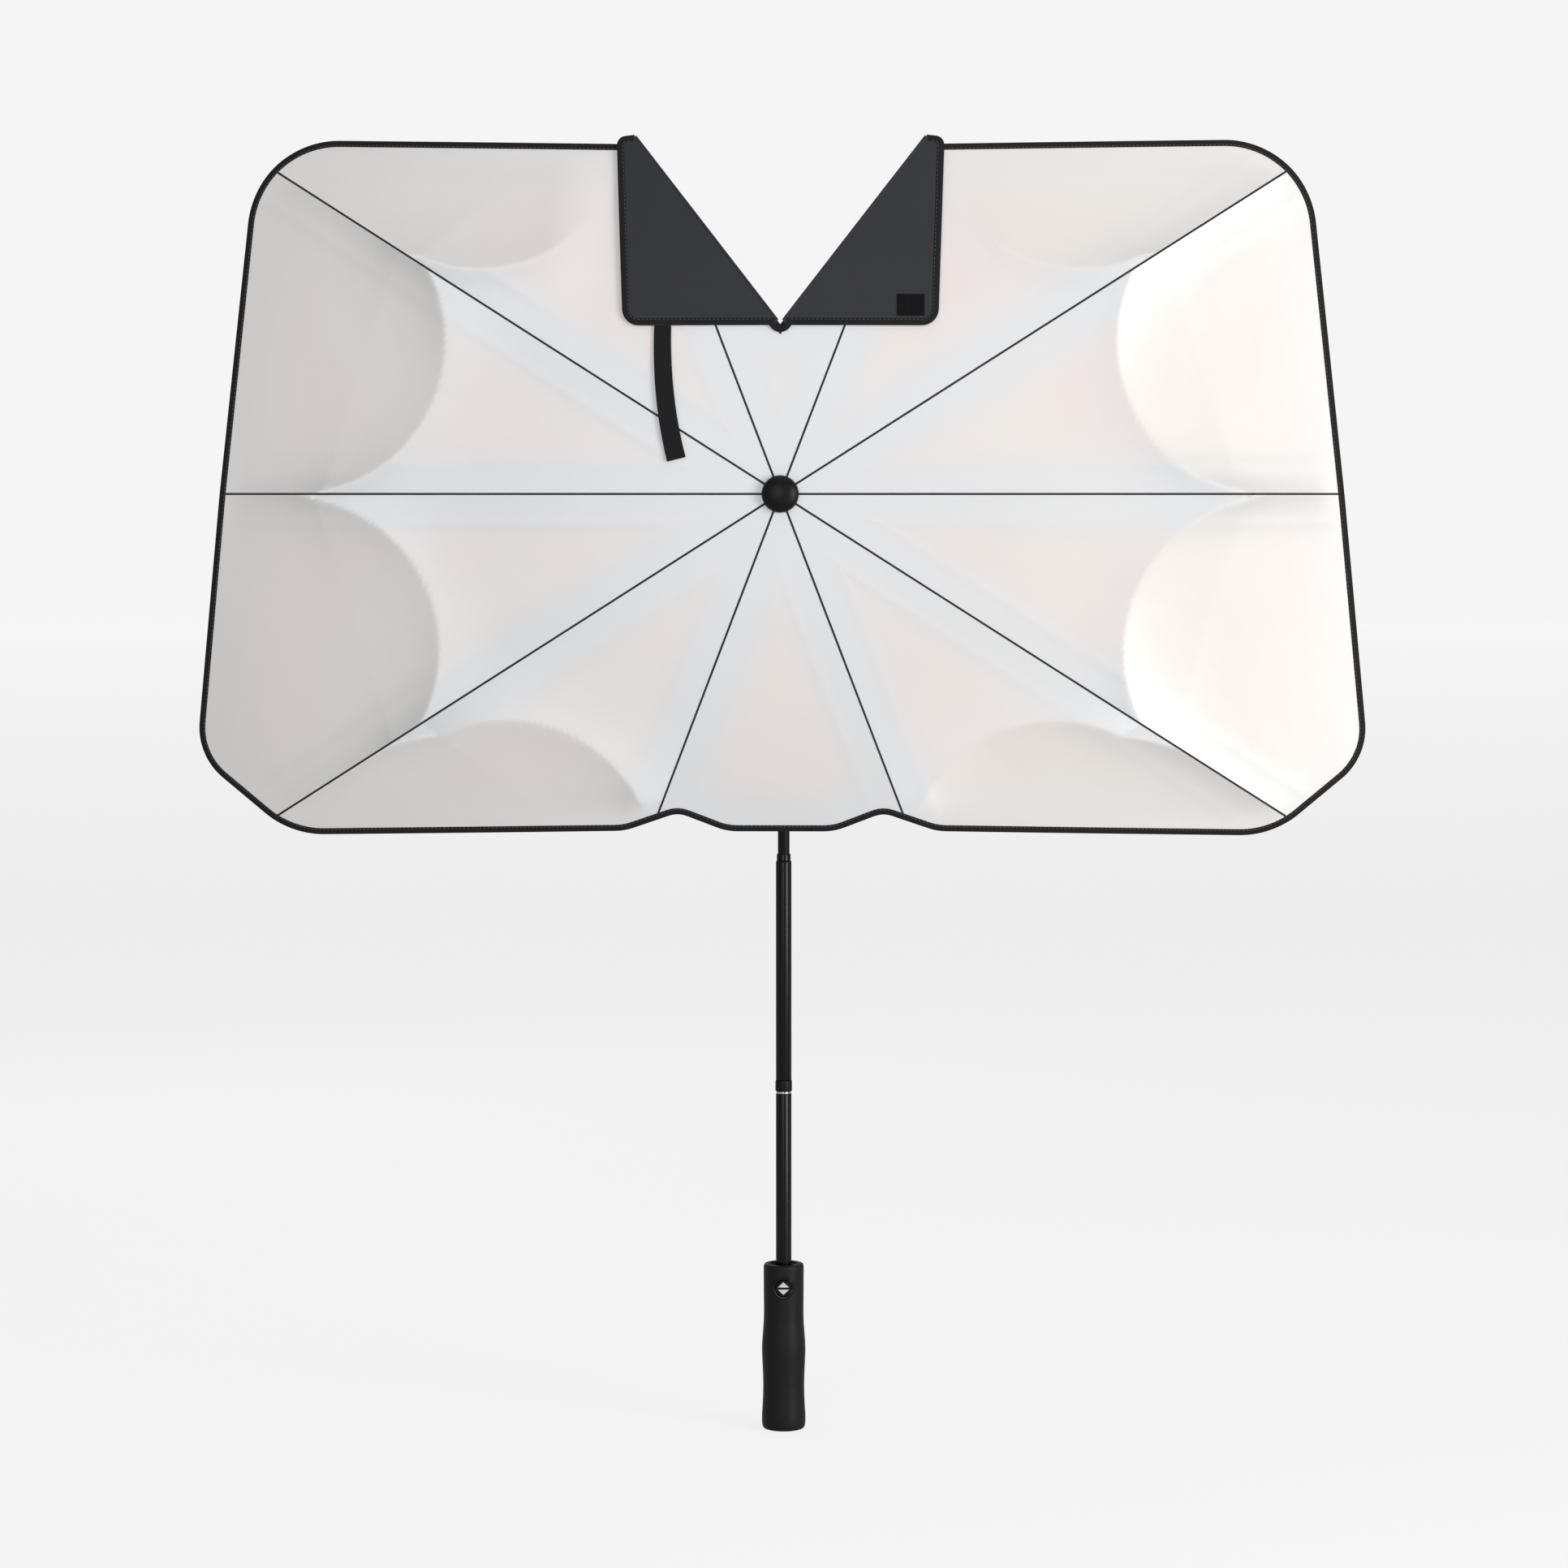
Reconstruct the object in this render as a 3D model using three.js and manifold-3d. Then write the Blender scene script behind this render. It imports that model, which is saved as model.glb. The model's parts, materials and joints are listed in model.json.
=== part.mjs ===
// Folding windscreen sunshade umbrella, standing on the end of its handle.
// Millimetres, +Z up, origin at the centre of the handle's base. The canopy's outer side faces -Y.
import * as THREE from 'three';
import { mergeVertices } from 'three/addons/utils/BufferGeometryUtils.js';
import Module from 'manifold-3d';

const wasm = await Module();
wasm.setup();

// ---------- driving dimensions ----------
const HEAD_HEIGHT = 1013; // canopy centre above the handle's base
const CROWN_REACH = 250; // rib pivots in front of the upright shaft
const GAP = 0.3; // clearance between pieces that meet
const SLIP = 0.3; // running clearance of tubes and pins
const SINK = 0.2; // how far a lug's foot lies inside the bar that it grows from

const HANDLE_LENGTH = 181;
const HANDLE_TOP_R = 21.9;
const HANDLE_WAIST_R = 22.4;
const HANDLE_SWELL_R = 23.8;
const HANDLE_EDGE = 3; // rounding of both ends
const PLUG_R = 12;
const PLUG_DEPTH = 8;
const HANDLE_CUP_R = 14;
const HANDLE_CUP_DEPTH = 11;

const OUTER_TUBE_R = 8.45;
const OUTER_TUBE_TOP = 366;
const OUTER_TUBE_WALL = 0.9;
const SWIVEL_RING_H = 2.2;
const SWIVEL_RING_STEP = 0.55; // how far the ring stands in from the tube under it
const COLLAR_H = 12;
const COLLAR_R = 9;
const MIDDLE_TUBE_R = 8.45;
const MIDDLE_TUBE_TOP = 626;
const MIDDLE_NECK_R = 7.5;
const MIDDLE_NECK_H = 7;
const INNER_TUBE_R = 6.35;
const INNER_TUBE_WALL = 0.9;
const INNER_TUBE_HELD = 30; // length still inside the middle tube when pulled out
const CANOPY_TUBE_R = 5;
const CANOPY_TUBE_WALL = 0.8;

const BUTTON_HEIGHT = 157;
const BUTTON_R = 8.7;
const BEZEL_R = 11.8;
const BUTTON_POCKET_FLOOR = 12; // pocket floor in front of the shaft's axis
const BUTTON_ROOM = 3; // free depth behind the button
const BEZEL_PROUD = 0.6;
const BUTTON_PROUD = 1.1;

const KNUCKLE_R = 10;
const TONGUE_HALF = 4;
const CHEEK_OUT = 9.5;
const ELBOW_PIN_R = 3;
const ELBOW_PIN_HEAD_R = 5;
const ELBOW_PIN_HEAD_H = 1.8;
const SOCKET_LENGTH = 20;
const SOCKET_START = 13; // from the elbow's axis
const FORK_START = 21;
const SOCKET_DEPTH = 14;

const RIB_ANGLES = [0, 32.5, 69]; // one quarter, from the level rib up
const RIB_WIDTH = 3;
const RIB_HEIGHT = 3;
const RIB_WALL = 0.7;
const GROOVE_END = 9; // plain length at the ends of a rib's groove
const BRACKET_HALF = 5; // foot of the stretcher's bracket
const ROOT_BLOCK = 6;
const OUTER_ROD = 2.4;
const RIB_TIP_R = 2.1;
const TIP_TO_HEM = 3.5;
const PIVOT_RING_R = 12; // rib pivots round the crown
const CROWN_R = 15;
const CROWN_BACK = 6;
const WIRE_R = 0.6;
const HINGE_OFFSET = 2.5; // hinge axis above or below the middle of a rib
const LUG_R = 1.9;
const LUG_CLEAR = 0.5;
const PIN_R = 0.7;
const HALF_SPLIT = 0.2; // half the gap between two lapped lugs
const LONG_SHARES = [0.345, 0.66, 1]; // ends of the three links of a long rib
const SHORT_SHARES = [0.53, 1]; // ends of the two links of a short rib
const STRUT_AT = 90; // stretcher bracket along the inner rib
const STRUT_DROP = 3.9;
const STRUT_LENGTH = 110;
const STRUT_HEIGHT = 2.5;
const RUNNER_PIVOT_R = 10.5;
const RUNNER_R = 7.8;
const RUNNER_FLANGE_R = 12.6;
const RUNNER_FLANGE_H = 6;
const RUNNER_SLEEVE = 13;

const DOME_DEPTH = 62; // fall of the canopy at DOME_RADIUS
const DOME_RADIUS = 600;
const FABRIC_LIFT = 5.2; // inner face of the fabric above the middle of a rib
const FABRIC_T = 0.9;
const CANOPY_HOLE_R = 6;
const BINDING_W = 6.5;
const BINDING_T = 1.7;
const FLAP_LIFT = 7.0;
const FLAP_T = 1.5;
const PATCH_T = 1;
const CAP_R = 18.9;
const CAP_H = 12;
const CAP_STEM_H = 14;

// hem corners of the left half, from the notch down to the middle of the bottom edge: x, z, radius
const NOTCH = [0, 171.6];
const HORN = [-149, 364];
const HEM = [
  [...NOTCH, 0],
  [...HORN, 0],
  [-166, 354.5, 0],
  [-538, 362.5, 94],
  [-607, -271, 65],
  [-507, -352, 95],
  [-160, -344.6, 60],
  [-105, -325.5, 26],
  [-55, -344.8, 60],
  [0, -344.8, 0],
];
const HEM_STEP = 55; // longest piece of the hem's polygon

// ---------- materials ----------
const finish = (color, roughness, metalness) =>
  new THREE.MeshStandardMaterial({ color, roughness, metalness });
const RUBBER = finish(0x232325, 0.62, 0);
const PLASTIC = finish(0x1c1c1e, 0.4, 0);
const BLACK_STEEL = finish(0x1b1c1e, 0.3, 0.5);
const BRIGHT_STEEL = finish(0xb9bbbe, 0.25, 1);
const RIB_STEEL = finish(0x2a2b2d, 0.4, 0.6);
const FIBREGLASS = finish(0x202022, 0.45, 0);
const SILVER_CLOTH = finish(0xdfdcda, 0.4, 0.3);
const BLACK_TAPE = finish(0x1d1d20, 0.8, 0);
const LEATHERETTE = finish(0x2b2c31, 0.6, 0);
const HOOK_TAPE = finish(0x0e0e10, 0.95, 0);

// ---------- solids ----------
const object = new THREE.Group();

// A closed geometry as a solid, turned right side out.
function solid(geometry) {
  const bare = geometry.clone();
  bare.deleteAttribute('normal');
  bare.deleteAttribute('uv');
  const merged = mergeVertices(bare, 1e-4);
  const place = merged.getAttribute('position').array;
  const corners = merged.index.array;
  const kept = [];
  let volume = 0;
  for (let i = 0; i < corners.length; i += 3) {
    const [a, b, c] = [corners[i], corners[i + 1], corners[i + 2]];
    if (a === b || b === c || c === a) continue;
    kept.push(a, b, c);
    const [p, q, r] = [a, b, c].map((k) => new THREE.Vector3().fromArray(place, 3 * k));
    volume += p.dot(q.cross(r));
  }
  if (volume < 0) kept.reverse();
  return new wasm.Manifold(new wasm.Mesh({
    numProp: 3,
    vertProperties: new Float32Array(place),
    triVerts: new Uint32Array(kept),
  }));
}

// A solid's surface as a geometry.
function surface(body) {
  const mesh = body.getMesh();
  const geometry = new THREE.BufferGeometry();
  geometry.setAttribute('position', new THREE.BufferAttribute(mesh.vertProperties, 3));
  geometry.setIndex(new THREE.BufferAttribute(mesh.triVerts, 1));
  geometry.computeVertexNormals();
  return geometry;
}

function piece(name, body, material, place = new THREE.Matrix4()) {
  const mesh = new THREE.Mesh(surface(body), material);
  mesh.name = name;
  mesh.applyMatrix4(place);
  object.add(mesh);
  return mesh;
}

function block(x0, x1, y0, y1, z0, z1) {
  const box = new THREE.BoxGeometry(x1 - x0, y1 - y0, z1 - z0);
  return solid(box.translate((x0 + x1) / 2, (y0 + y1) / 2, (z0 + z1) / 2));
}

// Round solid from a profile of [radius, height] points that closes on itself or on the axis.
function lathe(profile, sides) {
  const points = profile.map(([r, h]) => new THREE.Vector2(r, h));
  const [first, last] = [points[0], points[points.length - 1]];
  if (first.x > 0 || last.x > 0) points.push(first.clone());
  return new THREE.LatheGeometry(points, sides);
}

const turnedUp = (profile, sides = 24) => solid(lathe(profile, sides).rotateX(Math.PI / 2));
const turnedOnY = (profile, sides = 24) => solid(lathe(profile, sides));
const tubeProfile = (outer, inner, low, high) =>
  [[inner, low], [outer, low], [outer, high], [inner, high]];
const rodProfile = (radius, low, high) => [[0, low], [radius, low], [radius, high], [0, high]];

function rodOnX(radius, x0, x1, y, z, sides = 24) {
  const rod = lathe(rodProfile(radius, x0, x1), sides).rotateZ(-Math.PI / 2);
  return solid(rod.translate(0, y, z));
}

// Plate with its outline in the XY plane, from z0 to z1.
function plate(points, z0, z1) {
  const shape = new THREE.Shape(points);
  const body = new THREE.ExtrudeGeometry(shape, { depth: z1 - z0, bevelEnabled: false });
  return solid(body.translate(0, 0, z0));
}

function circle(radius, x, y, sides) {
  const points = [];
  for (let i = 0; i < sides; i += 1) {
    const turn = (2 * Math.PI * i) / sides;
    points.push(new THREE.Vector2(x + radius * Math.cos(turn), y + radius * Math.sin(turn)));
  }
  return points;
}

// Convex outline round a set of points.
function wrap(points) {
  const sorted = [...points].sort((p, q) => p.x - q.x || p.y - q.y);
  const half = (list) => {
    const chain = [];
    for (const p of list) {
      while (chain.length > 1) {
        const [a, b] = chain.slice(-2);
        if ((b.x - a.x) * (p.y - a.y) - (b.y - a.y) * (p.x - a.x) > 1e-9) break;
        chain.pop();
      }
      chain.push(p);
    }
    return chain.slice(0, -1);
  };
  return [...half(sorted), ...half(sorted.reverse())];
}

// ---------- handle ----------
const handleBore = OUTER_TUBE_R + GAP;
const cupFloor = HANDLE_LENGTH - HANDLE_CUP_DEPTH;
const grip = [
  [HANDLE_SWELL_R - HANDLE_EDGE - 0.8, 0],
  [HANDLE_SWELL_R - 1, HANDLE_EDGE * 0.6],
  [HANDLE_SWELL_R - 0.1, HANDLE_EDGE * 2],
  [HANDLE_SWELL_R, 0.07 * HANDLE_LENGTH],
  [HANDLE_WAIST_R + 0.4, 0.17 * HANDLE_LENGTH],
  [HANDLE_WAIST_R, 0.25 * HANDLE_LENGTH],
  [HANDLE_WAIST_R + 0.3, 0.34 * HANDLE_LENGTH],
  [HANDLE_SWELL_R - 0.3, 0.43 * HANDLE_LENGTH],
  [HANDLE_SWELL_R, 0.49 * HANDLE_LENGTH],
  [HANDLE_SWELL_R - 0.8, 0.56 * HANDLE_LENGTH],
  [HANDLE_TOP_R - 0.1, 0.64 * HANDLE_LENGTH],
  [HANDLE_TOP_R - 0.3, 0.7 * HANDLE_LENGTH],
  [HANDLE_TOP_R, HANDLE_LENGTH - HANDLE_EDGE],
  [HANDLE_TOP_R - HANDLE_EDGE * 0.3, HANDLE_LENGTH - HANDLE_EDGE * 0.3],
  [HANDLE_TOP_R - HANDLE_EDGE, HANDLE_LENGTH],
  [HANDLE_CUP_R + GAP, HANDLE_LENGTH],
  [HANDLE_CUP_R + GAP, cupFloor],
  [handleBore, cupFloor],
  [handleBore, PLUG_DEPTH + GAP],
  [PLUG_R + GAP, PLUG_DEPTH + GAP],
  [PLUG_R + GAP, 0],
];

// Round bar along Y through the handle's front wall, from the pocket floor outwards.
function frontRod(radius, near, far) {
  return turnedOnY(rodProfile(radius, -far, -near), 32).translate([0, 0, BUTTON_HEIGHT]);
}

// The curved front that the bezel and the button share with the handle.
const frontCurve = (proud) => turnedUp(
  rodProfile(HANDLE_TOP_R + proud, BUTTON_HEIGHT - 2 * BEZEL_R, BUTTON_HEIGHT + 2 * BEZEL_R), 72);

const pocket = frontRod(BEZEL_R + GAP, BUTTON_POCKET_FLOOR, 2 * HANDLE_SWELL_R);
piece('handle_grip', turnedUp(grip, 30).subtract(pocket), RUBBER);
piece('end_plug', turnedUp([
  [0, 0],
  [PLUG_R, 0],
  [PLUG_R, PLUG_DEPTH],
  [0, PLUG_DEPTH],
]), PLASTIC);
piece('handle_collar', turnedUp([
  [handleBore, cupFloor + GAP],
  [HANDLE_CUP_R, cupFloor + GAP],
  [HANDLE_CUP_R, HANDLE_LENGTH - 2],
  [HANDLE_CUP_R - 1.6, HANDLE_LENGTH - 2],
  [handleBore + 1.4, HANDLE_LENGTH - 5],
  [handleBore, HANDLE_LENGTH - 5],
]), PLASTIC);
const bezelBar = frontRod(BEZEL_R, BUTTON_POCKET_FLOOR + GAP, 2 * HANDLE_SWELL_R);
const buttonHole = frontRod(BUTTON_R + GAP, 0, 2 * HANDLE_SWELL_R);
piece('button_bezel', bezelBar.subtract(buttonHole).intersect(frontCurve(BEZEL_PROUD)), PLASTIC);
const buttonBar = frontRod(BUTTON_R, BUTTON_POCKET_FLOOR + BUTTON_ROOM, 2 * HANDLE_SWELL_R);
piece('release_button', buttonBar.intersect(frontCurve(BUTTON_PROUD)), PLASTIC);

// ---------- upright shaft ----------
const swivelLow = OUTER_TUBE_TOP + GAP;
const swivelHigh = swivelLow + SWIVEL_RING_H;
const middleLow = swivelHigh + GAP;
const collarTop = middleLow + COLLAR_H;
const innerBore = INNER_TUBE_R + SLIP;
const middleSpigotR = COLLAR_R - 1.2;
const forkLow = HEAD_HEIGHT - FORK_START - SOCKET_LENGTH;

piece('outer_tube', turnedUp(
  tubeProfile(OUTER_TUBE_R, OUTER_TUBE_R - OUTER_TUBE_WALL, PLUG_DEPTH + 2, OUTER_TUBE_TOP)), BLACK_STEEL);
piece('swivel_ring', turnedUp(
  tubeProfile(OUTER_TUBE_R - SWIVEL_RING_STEP, innerBore, swivelLow, swivelHigh)), BRIGHT_STEEL);
piece('swivel_collar', turnedUp([
  [middleSpigotR + GAP, middleLow],
  [COLLAR_R - 0.5, middleLow],
  [COLLAR_R, middleLow + 0.8],
  [COLLAR_R, collarTop - 0.5],
  [COLLAR_R - 0.4, collarTop],
  [middleSpigotR + GAP, collarTop],
]), PLASTIC);
piece('middle_tube', turnedUp([
  [innerBore, middleLow],
  [middleSpigotR, middleLow],
  [middleSpigotR, collarTop + GAP],
  [MIDDLE_TUBE_R, collarTop + GAP],
  [MIDDLE_TUBE_R, MIDDLE_TUBE_TOP - MIDDLE_NECK_H - 1],
  [MIDDLE_NECK_R, MIDDLE_TUBE_TOP - MIDDLE_NECK_H],
  [MIDDLE_NECK_R, MIDDLE_TUBE_TOP - 0.5],
  [MIDDLE_NECK_R - 0.4, MIDDLE_TUBE_TOP],
  [innerBore, MIDDLE_TUBE_TOP],
]), BLACK_STEEL);
piece('inner_tube', turnedUp(tubeProfile(
  INNER_TUBE_R,
  INNER_TUBE_R - INNER_TUBE_WALL,
  MIDDLE_TUBE_TOP - INNER_TUBE_HELD,
  forkLow + SOCKET_DEPTH - GAP,
)), BLACK_STEEL);

// ---------- elbow ----------
// Rounded plate in the YZ plane, from the elbow's axis down or forward to its socket.
function cheekOutline(reach) {
  const round = circle(KNUCKLE_R, 0, 0, 32);
  const foot = [new THREE.Vector2(-reach, KNUCKLE_R), new THREE.Vector2(-reach, -KNUCKLE_R)];
  return wrap([...round, ...foot]);
}

// Turns a plate's local x to -Z and its thickness to X, about the elbow's axis.
const downward = new THREE.Matrix4().makeBasis(
  new THREE.Vector3(0, 0, 1), new THREE.Vector3(0, 1, 0), new THREE.Vector3(-1, 0, 0));
// Turns a plate's local x to Y and its thickness to X.
const forward = new THREE.Matrix4().makeBasis(
  new THREE.Vector3(0, 1, 0), new THREE.Vector3(0, 0, 1), new THREE.Vector3(1, 0, 0));
const elbowAxis = new THREE.Matrix4().makeTranslation(0, 0, HEAD_HEIGHT);

const moved = (body, matrix) => solid(surface(body).applyMatrix4(matrix));
const pinHole = rodOnX(ELBOW_PIN_R + SLIP, -3 * CHEEK_OUT, 3 * CHEEK_OUT, 0, 0);

const cheek = plate(cheekOutline(FORK_START + 1), TONGUE_HALF + SLIP, CHEEK_OUT);
const otherCheek = plate(cheekOutline(FORK_START + 1), -CHEEK_OUT, -TONGUE_HALF - SLIP);
const forkBase = turnedUp([
  [innerBore, -FORK_START - SOCKET_LENGTH],
  [KNUCKLE_R - 1, -FORK_START - SOCKET_LENGTH],
  [KNUCKLE_R, -FORK_START - SOCKET_LENGTH + 1],
  [KNUCKLE_R, -FORK_START],
  [0, -FORK_START],
  [0, -FORK_START - SOCKET_LENGTH + SOCKET_DEPTH],
  [innerBore, -FORK_START - SOCKET_LENGTH + SOCKET_DEPTH],
]);
const withinKnuckle = turnedUp(rodProfile(KNUCKLE_R + 0.5, -3 * KNUCKLE_R, 3 * KNUCKLE_R), 48);
const fork = moved(cheek, downward)
  .add(moved(otherCheek, downward))
  .intersect(withinKnuckle)
  .add(forkBase)
  .subtract(pinHole);
piece('elbow_fork', fork, PLASTIC, elbowAxis);

const tubeBore = CANOPY_TUBE_R + GAP;
const tongueBase = turnedOnY([
  [0, -SOCKET_START - SOCKET_LENGTH + SOCKET_DEPTH],
  [0, -SOCKET_START],
  [KNUCKLE_R - 1, -SOCKET_START],
  [KNUCKLE_R, -SOCKET_START - 1],
  [KNUCKLE_R, -SOCKET_START - SOCKET_LENGTH + 2],
  [KNUCKLE_R - 2, -SOCKET_START - SOCKET_LENGTH],
  [tubeBore, -SOCKET_START - SOCKET_LENGTH],
  [tubeBore, -SOCKET_START - SOCKET_LENGTH + SOCKET_DEPTH],
]);
const tongue = moved(plate(cheekOutline(SOCKET_START + 1), -TONGUE_HALF, TONGUE_HALF), forward)
  .intersect(turnedOnY(rodProfile(KNUCKLE_R + 0.5, -3 * KNUCKLE_R, 3 * KNUCKLE_R), 48))
  .add(tongueBase)
  .subtract(pinHole);
piece('elbow_tongue', tongue, PLASTIC, elbowAxis);

const pinHeadIn = CHEEK_OUT + GAP;
piece('elbow_pin', rodOnX(ELBOW_PIN_R, -pinHeadIn - 1, pinHeadIn + 1, 0, 0)
  .add(rodOnX(ELBOW_PIN_HEAD_R, pinHeadIn, pinHeadIn + ELBOW_PIN_HEAD_H, 0, 0))
  .add(rodOnX(ELBOW_PIN_HEAD_R, -pinHeadIn - ELBOW_PIN_HEAD_H, -pinHeadIn, 0, 0)), BRIGHT_STEEL, elbowAxis);

// ---------- head: tube, crown and cap ----------
const headPlace = new THREE.Matrix4().makeTranslation(0, -CROWN_REACH, HEAD_HEIGHT);
const fabricFront = FABRIC_LIFT + FABRIC_T;
const tubeBack = CROWN_REACH - SOCKET_START - SOCKET_LENGTH + SOCKET_DEPTH - GAP;
piece('canopy_tube', turnedOnY(
  tubeProfile(CANOPY_TUBE_R, CANOPY_TUBE_R - CANOPY_TUBE_WALL, -fabricFront, tubeBack)), BLACK_STEEL, headPlace);

const ribAzimuths = [...RIB_ANGLES, ...RIB_ANGLES.map((a) => 180 - a).reverse()]
  .concat(RIB_ANGLES.slice(1).map((a) => 180 + a), RIB_ANGLES.slice(1).map((a) => 360 - a).reverse());
const radians = THREE.MathUtils.degToRad;

// A box along +X turned to a rib's azimuth in the XZ plane.
function radialSlot(azimuth, from, to, width, back, front) {
  const slot = surface(block(from, to, back, front, -width / 2, width / 2));
  return solid(slot.applyMatrix4(new THREE.Matrix4().makeRotationY(-radians(azimuth))));
}

const slotWidth = RIB_WIDTH + 2 * GAP;
let crown = turnedOnY(tubeProfile(CROWN_R, tubeBore, -FABRIC_LIFT + GAP, CROWN_BACK), 30);
const wireRing = (radius) =>
  solid(new THREE.TorusGeometry(PIVOT_RING_R, radius, 6, 30).rotateX(Math.PI / 2));
for (const azimuth of ribAzimuths) {
  const slot = radialSlot(azimuth, PIVOT_RING_R - 3, CROWN_R + 2, slotWidth, -2.6, CROWN_BACK + 2);
  crown = crown.subtract(slot);
}
piece('crown_hub', crown.subtract(wireRing(WIRE_R + GAP)), PLASTIC, headPlace);
piece('crown_wire', wireRing(WIRE_R), BRIGHT_STEEL, headPlace);

const capBack = -fabricFront - GAP;
const stemR = CANOPY_TUBE_R - CANOPY_TUBE_WALL - GAP;
const capProfile = [[0, capBack + CAP_STEM_H], [stemR, capBack + CAP_STEM_H], [stemR, capBack]];
capProfile.push([CAP_R - 1, capBack], [CAP_R, capBack - 1], [CAP_R, capBack - 3]);
const capSteps = 6;
for (let i = 1; i <= capSteps; i += 1) {
  const turn = (Math.PI / 2) * (i / capSteps);
  const radius = i === capSteps ? 0 : CAP_R * Math.cos(turn);
  capProfile.push([radius, capBack - 3 - (CAP_H - 3) * Math.sin(turn)]);
}
piece('top_cap', turnedOnY(capProfile, 32), PLASTIC, headPlace);

// ---------- dome and hem ----------
const dome = (r) => DOME_DEPTH * (r / DOME_RADIUS) ** 2;

// Fall of the cloth at x, z: straight from rib to rib, and on the dome along each rib.
function clothFall(x, z) {
  const azimuth = (THREE.MathUtils.radToDeg(Math.atan2(z, x)) + 360) % 360;
  const next = ribAzimuths.findIndex((a) => a > azimuth);
  const high = next < 0 ? 360 : ribAzimuths[next];
  const low = next < 0 ? ribAzimuths[ribAzimuths.length - 1] : ribAzimuths[next - 1];
  const off = radians(azimuth - (low + high) / 2);
  return dome((Math.hypot(x, z) * Math.cos(off)) / Math.cos(radians((high - low) / 2)));
}

// Corner list to an outline whose corners are rounded by arcs.
function rounded(corners) {
  const outline = [];
  corners.forEach(([x, z, radius], i) => {
    const at = new THREE.Vector2(x, z);
    if (!radius) {
      outline.push(at);
      return;
    }
    const before = new THREE.Vector2(...corners[i - 1]).sub(at).normalize();
    const after = new THREE.Vector2(...corners[i + 1]).sub(at).normalize();
    const half = Math.acos(before.dot(after)) / 2;
    const middle = before.clone().add(after).normalize().multiplyScalar(radius / Math.sin(half)).add(at);
    const from = at.clone().addScaledVector(before, radius / Math.tan(half)).sub(middle);
    const turn = Math.PI - 2 * half;
    const sense = Math.sign(before.clone().multiplyScalar(-1).cross(after));
    const steps = Math.max(2, Math.ceil((turn * radius) / HEM_STEP) + 2);
    for (let k = 0; k <= steps; k += 1) {
      outline.push(from.clone().rotateAround(new THREE.Vector2(), (sense * turn * k) / steps).add(middle));
    }
  });
  return outline;
}

function divided(points, step) {
  const fine = [];
  points.forEach((p, i) => {
    const q = points[i + 1];
    fine.push(p);
    if (!q) return;
    const parts = Math.ceil(p.distanceTo(q) / step);
    for (let k = 1; k < parts; k += 1) fine.push(p.clone().lerp(q, k / parts));
  });
  return fine;
}

// The whole hem as an anticlockwise ring that starts at the notch, with a point on every rib.
function hemRing() {
  const left = divided(rounded(HEM), HEM_STEP);
  const right = left.slice(1, -1).reverse().map((p) => new THREE.Vector2(-p.x, p.y));
  const ring = [...left, ...right];
  for (const azimuth of ribAzimuths) {
    const along = new THREE.Vector2(Math.cos(radians(azimuth)), Math.sin(radians(azimuth)));
    for (let i = 0; i < ring.length; i += 1) {
      const [p, q] = [ring[i], ring[(i + 1) % ring.length]];
      const [a, b] = [along.cross(p), along.cross(q)];
      if (a < 0 && b >= 0 && along.dot(p) > 0) {
        const cut = p.clone().lerp(q, a / (a - b));
        const nearest = cut.distanceTo(p) < cut.distanceTo(q) ? i : (i + 1) % ring.length;
        if (cut.distanceTo(ring[nearest]) < HEM_STEP / 5) ring[nearest] = cut;
        else ring.splice(i + 1, 0, cut);
        break;
      }
    }
  }
  return ring;
}

// The ring moved inwards by a distance, square to its edges.
function inset(ring, distance) {
  return ring.map((p, i) => {
    const into = p.clone().sub(ring[(i + ring.length - 1) % ring.length]).normalize();
    const out = ring[(i + 1) % ring.length].clone().sub(p).normalize();
    const [a, b] = [into, out].map((v) => new THREE.Vector2(-v.y, v.x));
    const mitre = a.clone().add(b).normalize();
    return p.clone().addScaledVector(mitre, distance / Math.max(0.5, mitre.dot(a)));
  });
}

// Closed sheet on the cloth between two lines of equal count, lifted from low to high.
function sheet(outer, inner, cells, low, high, closed) {
  const places = [];
  const corners = [];
  const count = outer.length;
  const row = cells + 1;
  for (const lift of [low, high]) {
    outer.forEach((p, i) => {
      for (let j = 0; j <= cells; j += 1) {
        const q = p.clone().lerp(inner[i], j / cells);
        places.push(q.x, clothFall(q.x, q.y) - lift, q.y);
      }
    });
  }
  const at = (side, i, j) => side * count * row + (i % count) * row + j;
  const quad = (a, b, c, d) => corners.push(a, b, c, a, c, d);
  const spans = closed ? count : count - 1;
  for (let i = 0; i < spans; i += 1) {
    for (let j = 0; j < cells; j += 1) {
      quad(at(1, i, j), at(1, i + 1, j), at(1, i + 1, j + 1), at(1, i, j + 1));
      quad(at(0, i, j), at(0, i, j + 1), at(0, i + 1, j + 1), at(0, i + 1, j));
    }
    quad(at(0, i, 0), at(0, i + 1, 0), at(1, i + 1, 0), at(1, i, 0));
    quad(at(0, i, cells), at(1, i, cells), at(1, i + 1, cells), at(0, i + 1, cells));
  }
  if (!closed) {
    for (let j = 0; j < cells; j += 1) {
      quad(at(0, 0, j), at(1, 0, j), at(1, 0, j + 1), at(0, 0, j + 1));
      quad(at(0, count - 1, j), at(0, count - 1, j + 1), at(1, count - 1, j + 1), at(1, count - 1, j));
    }
  }
  const geometry = new THREE.BufferGeometry();
  geometry.setAttribute('position', new THREE.Float32BufferAttribute(places, 3));
  geometry.setIndex(corners);
  return solid(geometry);
}

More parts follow.
